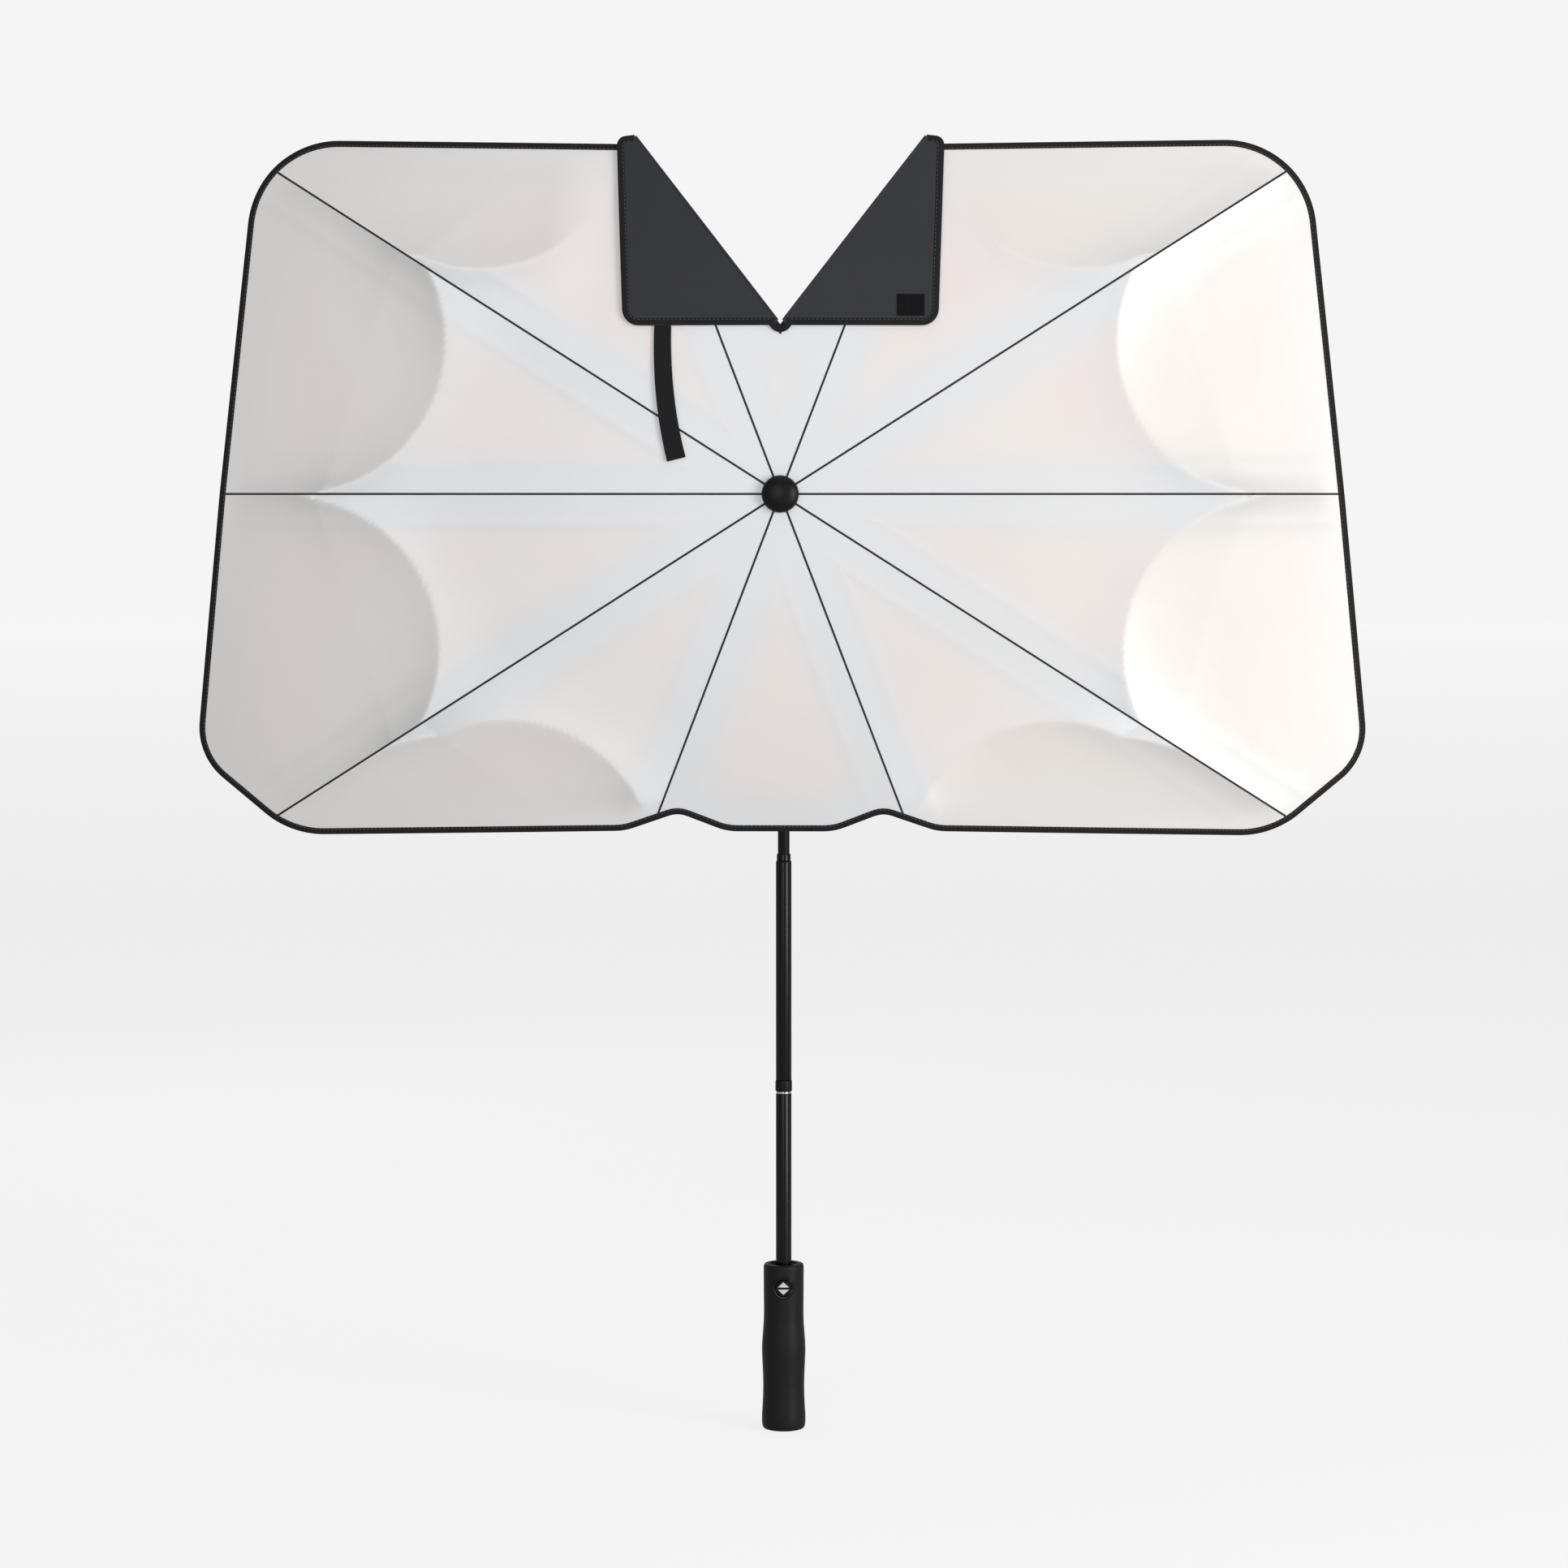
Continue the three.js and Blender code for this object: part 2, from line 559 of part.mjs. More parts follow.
// ---------- canopy and binding ----------
const hem = hemRing();
const clothEdge = inset(hem, BINDING_W + GAP);
const hole = clothEdge.map((p) => p.clone().setLength(CANOPY_HOLE_R));
piece('canopy', sheet(clothEdge, hole, 5, FABRIC_LIFT, fabricFront, true), SILVER_CLOTH, headPlace);
const bindingLow = FABRIC_LIFT + (FABRIC_T - BINDING_T) / 2;
piece('canopy_binding',
  sheet(hem, inset(hem, BINDING_W), 1, bindingLow, bindingLow + BINDING_T, true), BLACK_TAPE, headPlace);

// ---------- notch flaps, strap and patch ----------
const FLAP_TOP = [-163, 357, 0];
const FLAP_CORNER = [-159.5, 170.6, 17];
const FLAP_FOOT = [-9, 170.6, 0];
const flapSteps = 12;

// Evenly spaced points along a polyline.
function spaced(points, count) {
  const path = new THREE.CurvePath();
  for (let i = 1; i < points.length; i += 1) path.add(new THREE.LineCurve(points[i - 1], points[i]));
  return path.getSpacedPoints(count);
}

const foldTop = new THREE.Vector2(...HORN).lerp(new THREE.Vector2(...NOTCH), 0.012);
const foldFoot = new THREE.Vector2(...HORN).lerp(new THREE.Vector2(...NOTCH), 0.98);

// The left flap, or its mirror image for a side of -1. It is hinged along the notch's edge.
function flap(side) {
  const edge = spaced([foldTop, foldFoot], flapSteps);
  const rim = spaced(rounded([FLAP_TOP, FLAP_CORNER, FLAP_FOOT]), flapSteps);
  const turned = (p) => new THREE.Vector2(side * p.x, p.y);
  return sheet(rim.map(turned), edge.map(turned), 4, FLAP_LIFT, FLAP_LIFT + FLAP_T, false);
}
piece('flap_left', flap(1), LEATHERETTE, headPlace);
piece('flap_right', flap(-1), LEATHERETTE, headPlace);

const STRAP_W = 17.5;
const STRAP_T = 1.2;
const strapPath = new THREE.QuadraticBezierCurve(
  new THREE.Vector2(-119, FLAP_CORNER[1] - GAP),
  new THREE.Vector2(-121.5, 100),
  new THREE.Vector2(-105.5, 35),
);
const strapPoints = strapPath.getPoints(8);
const strapSide = (sign) => strapPoints.map((p, i) => {
  const along = i === 0 ? new THREE.Vector2(0, -1) : strapPath.getTangent(i / 8);
  return new THREE.Vector2(p.x - (sign * along.y * STRAP_W) / 2, p.y + (sign * along.x * STRAP_W) / 2);
});
piece('tie_strap',
  sheet(strapSide(-1), strapSide(1), 2, FLAP_LIFT, FLAP_LIFT + STRAP_T, false), BLACK_TAPE, headPlace);

const PATCH = { left: 118, right: 146, low: 180, high: 202 };
const patchLift = FLAP_LIFT + FLAP_T + GAP;
const patchSide = (x) => spaced([new THREE.Vector2(x, PATCH.high), new THREE.Vector2(x, PATCH.low)], 3);
piece('hook_patch',
  sheet(patchSide(PATCH.left), patchSide(PATCH.right), 2, patchLift, patchLift + PATCH_T, false),
  HOOK_TAPE, headPlace);

// ---------- ribs ----------
// Half-width lug round a hinge axis, joined to the end of a rib's bar.
// All in the rib's own frame: x along the rib, y towards the cloth, z across it.
const lugHalf = RIB_WIDTH / 2 - SINK / 2;
const lugSides = 8;

function lug(axisX, axisY, barX, barHalf, side) {
  const foot = [new THREE.Vector2(barX, SINK - barHalf), new THREE.Vector2(barX, barHalf - SINK)];
  const outline = wrap([...circle(LUG_R, axisX, axisY, lugSides), ...foot]);
  const [near, far] = side > 0 ? [HALF_SPLIT, lugHalf] : [-lugHalf, -HALF_SPLIT];
  return plate(outline, near, far);
}

const pinAt = (x, y, radius, half) => plate(circle(radius, x, y, 6), -half, half);
const pinReach = lugHalf - SINK / 2;
const barGap = LUG_R + LUG_CLEAR;
const lugRoot = 1.2; // how far a lug runs into its bar

// Steel bar grooved like a channel on the side away from the cloth.
function channel(from, to, grooves) {
  const half = RIB_HEIGHT / 2;
  const side = RIB_WIDTH / 2;
  let bar = block(from, to, -half, half, -side, side);
  for (const [start, end] of grooves) {
    bar = bar.subtract(block(start, end, -RIB_HEIGHT, half - RIB_WALL, RIB_WALL - side, side - RIB_WALL));
  }
  return bar;
}

// Round rod with a ball tip, for the last link, in a square root block.
function rod(from, to) {
  const radius = OUTER_ROD / 2;
  const turned = lathe([
    [0, from + 2],
    [radius, from + 2],
    [radius, to - 2 * RIB_TIP_R],
    [RIB_TIP_R, to - 1.4 * RIB_TIP_R],
    [RIB_TIP_R, to - 0.6 * RIB_TIP_R],
    [RIB_TIP_R / 2, to],
    [0, to],
  ], 8).rotateZ(-Math.PI / 2);
  const half = RIB_HEIGHT / 2;
  return solid(turned).add(block(from, from + ROOT_BLOCK, -half, half, -RIB_WIDTH / 2, RIB_WIDTH / 2));
}

// A link: its bar, a root lug with the pin at 0, and an end lug with the hole at the next hinge.
function link(length, rootSide, endSide, bar) {
  const half = RIB_HEIGHT / 2;
  let body = bar;
  if (rootSide) {
    const y = rootSide * HINGE_OFFSET;
    body = body.add(lug(0, y, barGap + lugRoot, half, 1)).add(pinAt(0, y, PIN_R, pinReach));
  }
  if (endSide) {
    const y = endSide * HINGE_OFFSET;
    body = body
      .add(lug(length, y, length - barGap - lugRoot, half, -1))
      .subtract(pinAt(length, y, PIN_R + SLIP, RIB_WIDTH));
  }
  return body;
}

// The inner link also has the crown's eye and the stretcher's bracket.
function innerLink(length) {
  const sunk = SINK - RIB_HEIGHT / 2;
  const eyeEnd = PIVOT_RING_R / 3;
  const eye = wrap([
    ...circle(LUG_R, 0, 0, lugSides),
    new THREE.Vector2(eyeEnd, sunk),
    new THREE.Vector2(eyeEnd, -sunk),
  ]);
  const bracket = wrap([
    ...circle(LUG_R, STRUT_AT, -STRUT_DROP, lugSides),
    new THREE.Vector2(STRUT_AT - BRACKET_HALF, sunk),
    new THREE.Vector2(STRUT_AT + LUG_R, sunk), // upright, so that the stretcher folds past it
  ]);
  const clear = BRACKET_HALF + 2;
  const grooves = [[eyeEnd + 4, STRUT_AT - clear], [STRUT_AT + clear, length - GROOVE_END]];
  return link(length, 0, 1, channel(barGap, length - barGap, grooves))
    .add(plate(eye, -lugHalf, lugHalf))
    .subtract(pinAt(0, 0, WIRE_R + GAP, RIB_WIDTH))
    .add(plate(bracket, -lugHalf, -HALF_SPLIT))
    .subtract(pinAt(STRUT_AT, -STRUT_DROP, PIN_R + SLIP, RIB_WIDTH));
}

const middleLink = (length) =>
  link(length, 1, -1, channel(barGap, length - barGap, [[GROOVE_END, length - GROOVE_END]]));
const outerLink = (length, rootSide) => link(length, rootSide, 0, rod(barGap, length));

// Stretcher from the bracket at 0 to the runner, with a full-width eye at the runner's end.
function stretcher() {
  const half = STRUT_HEIGHT / 2;
  const eye = wrap([
    ...circle(half, STRUT_LENGTH, 0, lugSides),
    new THREE.Vector2(STRUT_LENGTH - 3, half - SINK),
    new THREE.Vector2(STRUT_LENGTH - 3, SINK - half),
  ]);
  return block(barGap, STRUT_LENGTH - 2, -half, half, -RIB_WIDTH / 2, RIB_WIDTH / 2)
    .add(plate(eye, -lugHalf, lugHalf))
    .subtract(pinAt(STRUT_LENGTH, 0, PIN_R, RIB_WIDTH))
    .add(lug(0, 0, barGap + lugRoot, half, 1))
    .add(pinAt(0, 0, PIN_R, pinReach));
}

// Distance from the crown's centre to the hem along an azimuth.
function hemReach(azimuth) {
  const along = new THREE.Vector2(Math.cos(radians(azimuth)), Math.sin(radians(azimuth)));
  const onRib = hem.filter((p) => Math.abs(along.cross(p)) < 0.01 && along.dot(p) > 0);
  return onRib[0].length();
}

// Frame of a link: x along it, y towards the cloth, at a point given as radius and depth.
function linkPlace(azimuth, radius, depth, slope) {
  const out = new THREE.Vector3(Math.cos(radians(azimuth)), 0, Math.sin(radians(azimuth)));
  const back = new THREE.Vector3(0, 1, 0);
  const along = out.clone().multiplyScalar(Math.cos(slope)).addScaledVector(back, Math.sin(slope));
  const up = out.clone().multiplyScalar(Math.sin(slope)).addScaledVector(back, -Math.cos(slope));
  const across = along.clone().cross(up);
  const at = out.multiplyScalar(radius).addScaledVector(back, depth);
  return new THREE.Matrix4().makeBasis(along, up, across).setPosition(at).premultiply(headPlace);
}

const wireName = (i) => String(i + 1).padStart(2, '0');
const pivots = {};
let runnerDepth = 0;

ribAzimuths.forEach((azimuth, i) => {
  const reach = hemReach(azimuth) - TIP_TO_HEM - PIVOT_RING_R;
  const shares = azimuth % 180 > 60 && azimuth % 180 < 120 ? SHORT_SHARES : LONG_SHARES;
  const name = wireName(i);
  let at = new THREE.Vector2(PIVOT_RING_R, 0);
  const row = { azimuth, slopes: [], hinges: [] };
  shares.forEach((share, k) => {
    const radius = PIVOT_RING_R + reach * share;
    const end = new THREE.Vector2(radius, dome(radius));
    const last = k === shares.length - 1;
    const along = end.clone().sub(at);
    const slope = along.angle();
    const length = along.length();
    const place = linkPlace(azimuth, at.x, at.y, slope);
    const cloth = new THREE.Vector2(Math.sin(slope), -Math.cos(slope));
    const rootSide = k === 0 ? 0 : k % 2 === 1 ? 1 : -1;
    const hinge = at.clone().addScaledVector(cloth, rootSide * HINGE_OFFSET);
    row.hinges.push(hinge.toArray());
    row.slopes.push(slope);
    if (k === 0) {
      piece(`rib_inner_${name}`, innerLink(length), RIB_STEEL, place);
      const unit = along.clone().normalize();
      const bracket = at.clone().addScaledVector(unit, STRUT_AT).addScaledVector(cloth, -STRUT_DROP);
      const drop = bracket.x - RUNNER_PIVOT_R;
      const fall = Math.sqrt(STRUT_LENGTH ** 2 - drop ** 2);
      runnerDepth += (bracket.y + fall) / ribAzimuths.length;
      row.bracket = bracket.toArray();
      const strutSlope = Math.atan2(fall, -drop);
      row.strutSlope = strutSlope;
      const strutPlace = linkPlace(azimuth, bracket.x, bracket.y, strutSlope);
      piece(`stretcher_${name}`, stretcher(), RIB_STEEL, strutPlace);
    } else if (last) {
      piece(`rib_outer_${name}`, outerLink(length, rootSide), FIBREGLASS, place);
    } else {
      piece(`rib_middle_${name}`, middleLink(length), RIB_STEEL, place);
    }
    at = end;
  });
  pivots[name] = row;
});

// ---------- runner ----------
const runnerBore = CANOPY_TUBE_R + SLIP + 0.1;
let runner = turnedOnY([
  [runnerBore, -RUNNER_FLANGE_H / 2],
  [RUNNER_FLANGE_R, -RUNNER_FLANGE_H / 2],
  [RUNNER_FLANGE_R, RUNNER_FLANGE_H / 2],
  [RUNNER_R, RUNNER_FLANGE_H / 2],
  [RUNNER_R, RUNNER_SLEEVE],
  [runnerBore, RUNNER_SLEEVE],
], 30);
for (const azimuth of ribAzimuths) {
  const reach = [RUNNER_R + 0.4, RUNNER_FLANGE_R + 2];
  runner = runner.subtract(radialSlot(azimuth, ...reach, slotWidth, -RUNNER_FLANGE_H, RUNNER_FLANGE_H));
}
const runnerPlace = headPlace.clone().multiply(new THREE.Matrix4().makeTranslation(0, runnerDepth, 0));
piece('runner', runner, PLASTIC, runnerPlace);

// The line that a flap folds about, from its top to its foot.
const foldLine = (side) => Object.fromEntries([['top', foldTop], ['foot', foldFoot]].map(([end, p]) =>
  [end, [side * p.x, clothFall(p.x, p.y) - FLAP_LIFT - CROWN_REACH, p.y + HEAD_HEIGHT]]));

// Hinge places of the linkage and the flaps, for whoever needs the joints.
const flapHinge = { left: foldLine(1), right: foldLine(-1) };
object.userData = { pivots, runnerDepth, flapHinge };

export default object;
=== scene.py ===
# Folding windscreen sunshade umbrella: a silver cloth on ten folding ribs, a three-stage shaft and a grip.
# Lengths are in metres, +Z up, with the canopy's outer side facing -Y.
import json
import math

import bmesh
import bpy
import numpy as np
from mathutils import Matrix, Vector

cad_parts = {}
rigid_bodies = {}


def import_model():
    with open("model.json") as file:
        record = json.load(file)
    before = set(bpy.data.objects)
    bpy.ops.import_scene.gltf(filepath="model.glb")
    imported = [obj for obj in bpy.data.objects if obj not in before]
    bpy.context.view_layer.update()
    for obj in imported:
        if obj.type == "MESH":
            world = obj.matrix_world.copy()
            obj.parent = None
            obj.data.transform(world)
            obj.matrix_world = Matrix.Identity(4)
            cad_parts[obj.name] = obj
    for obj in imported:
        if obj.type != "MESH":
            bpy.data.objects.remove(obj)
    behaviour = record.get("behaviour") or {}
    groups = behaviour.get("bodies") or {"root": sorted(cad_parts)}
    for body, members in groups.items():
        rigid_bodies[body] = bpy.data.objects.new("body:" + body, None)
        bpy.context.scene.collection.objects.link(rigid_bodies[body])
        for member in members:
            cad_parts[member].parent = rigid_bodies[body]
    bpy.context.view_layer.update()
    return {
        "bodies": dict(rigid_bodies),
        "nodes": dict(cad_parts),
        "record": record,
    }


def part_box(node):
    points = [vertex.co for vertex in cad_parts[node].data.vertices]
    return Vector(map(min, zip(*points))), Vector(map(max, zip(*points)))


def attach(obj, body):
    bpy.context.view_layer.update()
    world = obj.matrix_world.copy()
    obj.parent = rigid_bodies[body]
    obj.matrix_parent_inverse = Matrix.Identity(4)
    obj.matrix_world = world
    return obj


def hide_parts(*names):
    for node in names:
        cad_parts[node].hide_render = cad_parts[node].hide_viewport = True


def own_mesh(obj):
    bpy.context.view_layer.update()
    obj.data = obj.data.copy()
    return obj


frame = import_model()
mm = 0.001


# ---------------------------------------------------------------- camera
# A long lens on a stand as high as the canopy's middle, a little to the right, looking slightly down.
CAMERA_PLACE = (65 * mm, -4690 * mm, 1013 * mm)
CAMERA_DOWN = math.radians(3.80)
CAMERA_LEFT = math.radians(0.79)
LENS_MM = 100.25

lens = bpy.data.cameras.new("camera")
lens.sensor_width = 36
lens.lens = LENS_MM
lens.clip_end = 100
camera = bpy.data.objects.new("camera", lens)
camera.location = CAMERA_PLACE
camera.rotation_euler = (math.pi / 2 - CAMERA_DOWN, 0, CAMERA_LEFT)
bpy.context.scene.collection.objects.link(camera)
bpy.context.scene.camera = camera
bpy.context.scene.view_settings.view_transform = "Standard"


# ---------------------------------------------------------------- room: paper floor, soft boxes and sky
# A matt white paper floor, one large soft box on the right, an overhead one, and pale walls all round.
def linear(hex_colour):
    channels = [int(hex_colour[i : i + 2], 16) / 255 for i in (1, 3, 5)]
    return tuple(c / 12.92 if c <= 0.04045 else ((c + 0.055) / 1.055) ** 2.4 for c in channels) + (1,)


def add(tree, kind, links=None, **settings):
    """Adds a node. links gives each input by name or number a value, or another node's output."""
    node = tree.nodes.new(kind)
    for key, value in settings.items():
        setattr(node, key, value)
    for key, value in (links or {}).items():
        socket = node.inputs[key]
        if isinstance(value, bpy.types.NodeSocket):
            tree.links.new(value, socket)
        else:
            socket.default_value = value
    return node


def new_object(name, data):
    obj = bpy.data.objects.new(name, data)
    bpy.context.scene.collection.objects.link(obj)
    return obj


def mesh_object(name, points, faces, material=None, edges=()):
    mesh = bpy.data.meshes.new(name)
    mesh.from_pydata([tuple(p) for p in points], edges, [tuple(f) for f in faces])
    if material:
        mesh.materials.append(material)
    return new_object(name, mesh)


PAPER = "#7a7a7a"
FLOOR_HALF = 30
FLOOR_NEAR, FLOOR_FAR = 6, 29  # the paper grows brighter between these two distances behind the object
FLOOR_GLOW = (0.785, 0.868)
FLOOR_LIGHT = 0.33
WALL_GLOW = 0.913
ROOM_LIGHT = 0.32

paper = bpy.data.materials.new("white_paper")
paper.use_nodes = True
paper.node_tree.nodes.clear()
matt = add(paper.node_tree, "ShaderNodeBsdfDiffuse", {"Color": linear(PAPER)})
place = add(paper.node_tree, "ShaderNodeTexCoord")
parts = add(paper.node_tree, "ShaderNodeSeparateXYZ", {0: place.outputs["Object"]})
far_off = add(paper.node_tree, "ShaderNodeMapRange", {
    "Value": parts.outputs["Y"],
    "From Min": FLOOR_NEAR,
    "From Max": FLOOR_FAR,
    "To Min": FLOOR_GLOW[0],
    "To Max": FLOOR_GLOW[1],
})
seen = add(paper.node_tree, "ShaderNodeLightPath")
level = add(paper.node_tree, "ShaderNodeMix", {
    "Factor": seen.outputs["Is Camera Ray"],
    2: FLOOR_LIGHT,
    3: far_off.outputs[0],
})
glow = add(paper.node_tree, "ShaderNodeEmission", {"Color": (1, 1, 1, 1), "Strength": level.outputs[0]})
both = add(paper.node_tree, "ShaderNodeAddShader", {0: matt.outputs[0], 1: glow.outputs[0]})
add(paper.node_tree, "ShaderNodeOutputMaterial", {"Surface": both.outputs[0]})
corners = [(-1, -1), (1, -1), (1, 1), (-1, 1)]
floor = mesh_object("floor", [(x * FLOOR_HALF, y * FLOOR_HALF, 0) for x, y in corners], [(0, 1, 2, 3)], paper)

room = bpy.data.worlds.new("room")
room.use_nodes = True
room.node_tree.nodes.clear()
seen = add(room.node_tree, "ShaderNodeLightPath")
level = add(room.node_tree, "ShaderNodeMix", {
    "Factor": seen.outputs["Is Camera Ray"],
    2: ROOM_LIGHT,
    3: WALL_GLOW,
})
sky = add(room.node_tree, "ShaderNodeBackground", {"Color": (1, 1, 1, 1), "Strength": level.outputs[0]})
add(room.node_tree, "ShaderNodeOutputWorld", {"Surface": sky.outputs[0]})
bpy.context.scene.world = room


def soft_box(name, place, size, power, aim, colour="#ffffff"):
    data = bpy.data.lights.new(name, "AREA")
    data.shape = "RECTANGLE"
    data.size, data.size_y = size
    data.energy = power
    data.color = linear(colour)[:3]
    light = new_object(name, data)
    light.location = place
    light.rotation_euler = (Vector(aim) - Vector(place)).to_track_quat("-Z", "Y").to_euler()


crown = (Vector(frame["nodes"]["crown_hub"].bound_box[0]) + Vector(frame["nodes"]["crown_hub"].bound_box[6])) / 2
soft_box("key_box", (3.2, -2.6, 1.1), (1.6, 2.2), 95, crown, "#fffcf9")
soft_box("fill_box", (-0.7, -5.1, 1.7), (2.4, 2.4), 58, crown, "#f8faff")
soft_box("top_box", (0.3, -0.6, 3.4), (2.6, 2.6), 12, (0, 0, 0))
soft_box("back_box", (-1.2, 3.0, 2.0), (2.0, 2.0), 12, crown)


# ---------------------------------------------------------------- shared ways of making a turned part
# Turned parts are profiles spun round an axis, with their edges broken as a lathe or a mould leaves them.
def eased(profile, radius):
    """The profile with each of its inner corners cut by a small arc."""
    out = [profile[0]]
    for before, at, after in zip(profile, profile[1:], profile[2:]):
        a, b, c = (Vector(p) for p in (before, at, after))
        reach = min(radius, (a - b).length / 2.2, (c - b).length / 2.2)
        start, end = b + (a - b).normalized() * reach, b + (c - b).normalized() * reach
        for k in range(4):
            t = k / 3
            out.append(tuple(start * (1 - t) ** 2 + b * 2 * t * (1 - t) + end * t * t))
    out.append(profile[-1])
    return out


def smooth(obj, angle=32):
    obj.data.shade_smooth()
    obj.data.set_sharp_from_angle(angle=math.radians(angle))
    return obj


def cleaned(obj):
    """Merges doubles and turns every face outwards."""
    work = bmesh.new()
    work.from_mesh(obj.data)
    bmesh.ops.remove_doubles(work, verts=work.verts, dist=1e-6)
    bmesh.ops.dissolve_degenerate(work, edges=work.edges, dist=1e-7)
    bmesh.ops.recalc_face_normals(work, faces=work.faces)
    work.to_mesh(obj.data)
    work.free()
    return obj


def spun(name, profile, material, centre=(0, 0, 0), along="z", sides=96, edge=0.3 * mm):
    """Closed ring or solid from [radius, height] pairs, spun round Z, or round Y with height along -Y."""
    closed = profile[0][0] > 0 or profile[-1][0] > 0
    loop = eased(list(profile) + ([profile[0]] if closed else []), edge)
    points, faces = [], []
    for i in range(sides):
        turn = 2 * math.pi * i / sides
        for r, h in loop:
            x, y = r * math.cos(turn), r * math.sin(turn)
            place = (x, y, h) if along == "z" else (x, -h, y)
            points.append(Vector(place) + Vector(centre))
    row = len(loop)
    for i in range(sides):
        j = (i + 1) % sides
        for k in range(row - 1):
            faces.append((i * row + k, j * row + k, j * row + k + 1, i * row + k + 1))
    obj = mesh_object(name, points, faces, material)
    return smooth(cleaned(obj))


def plain(obj):
    """Turns an object with modifiers into a plain mesh object of the same name."""
    name = obj.name
    made = bpy.data.meshes.new_from_object(obj.evaluated_get(bpy.context.evaluated_depsgraph_get()))
    bpy.data.objects.remove(obj)
    return new_object(name, made)


def refined(node, material, edge=0.35 * mm, angle=32):
    """A finer copy of a machined or moulded CAD part: its facets are shaded round and its edges broken."""
    obj = new_object(f"{node}_finished", frame["nodes"][node].data.copy())
    obj.data.materials.clear()
    obj.data.materials.append(material)
    work = bmesh.new()
    work.from_mesh(obj.data)
    bmesh.ops.remove_doubles(work, verts=work.verts, dist=1e-6)
    bmesh.ops.dissolve_limit(work, angle_limit=math.radians(1), verts=work.verts, edges=work.edges)
    work.to_mesh(obj.data)
    work.free()
    bevel = obj.modifiers.new("edge", "BEVEL")
    bevel.width = edge
    bevel.segments = 2
    bevel.limit_method = "ANGLE"
    bevel.angle_limit = math.radians(angle)
    return smooth(plain(obj), angle)


def fitted(obj, body, slot, *nodes):
    """Puts a finished piece on its body, in place of the CAD nodes that it stands for."""
    if nodes:
        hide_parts(*nodes)
    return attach(obj, body)


def node_box(node):
    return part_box(node)


# ---------------------------------------------------------------- grip
# A moulded ABS grip with a soft-touch rubber coat, which is matt and shows only a broad, weak highlight.
# It is waisted for the fingers, hollow at the top for the shaft's collar, and pierced in front for the button.
def surface_finish(name, colour, roughness, grain_mm, grain_depth, metallic=0.0, specular=0.5, wear=0.0):
    """A moulded or coated surface: a base colour that varies a little, and a fine grain."""
    material = bpy.data.materials.new(name)
    material.use_nodes = True
    tree = material.node_tree
    tree.nodes.clear()
    place = add(tree, "ShaderNodeTexCoord")
    cloud = add(tree, "ShaderNodeTexNoise", {"Vector": place.outputs["Object"], "Scale": 38.0, "Detail": 3.0})
    dark, light = linear(colour), linear(colour)
    tint = add(tree, "ShaderNodeMix", {
        "Factor": cloud.outputs["Fac"],
        6: tuple(c * (0.88 - wear) for c in dark[:3]) + (1,),
        7: tuple(min(1, c * (1.12 + wear)) for c in light[:3]) + (1,),
    }, data_type="RGBA")
    rough = add(tree, "ShaderNodeMapRange", {
        "Value": cloud.outputs["Fac"],
        "To Min": roughness - 0.05,
        "To Max": roughness + 0.05,
    })
    grain = add(tree, "ShaderNodeTexNoise", {
        "Vector": place.outputs["Object"],
        "Scale": 1 / (grain_mm * mm),
        "Detail": 2.0,
    })
    bump = add(tree, "ShaderNodeBump", {
        "Height": grain.outputs["Fac"],
        "Strength": grain_depth,
        "Distance": 0.1 * mm,
    })
    skin = add(tree, "ShaderNodeBsdfPrincipled", {
        "Base Color": tint.outputs[2],
        "Roughness": rough.outputs[0],
        "Normal": bump.outputs[0],
        "Metallic": metallic,
    })
    if metallic < 1:
        skin.inputs["Specular IOR Level"].default_value = specular
    add(tree, "ShaderNodeOutputMaterial", {"Surface": skin.outputs[0]})
    return material


soft_touch_rubber = surface_finish("soft_touch_rubber", "#121213", 0.5, 0.5, 0.25, specular=0.24)
satin_abs = surface_finish("satin_black_abs", "#0d0d0e", 0.40, 0.8, 0.12, specular=0.2)

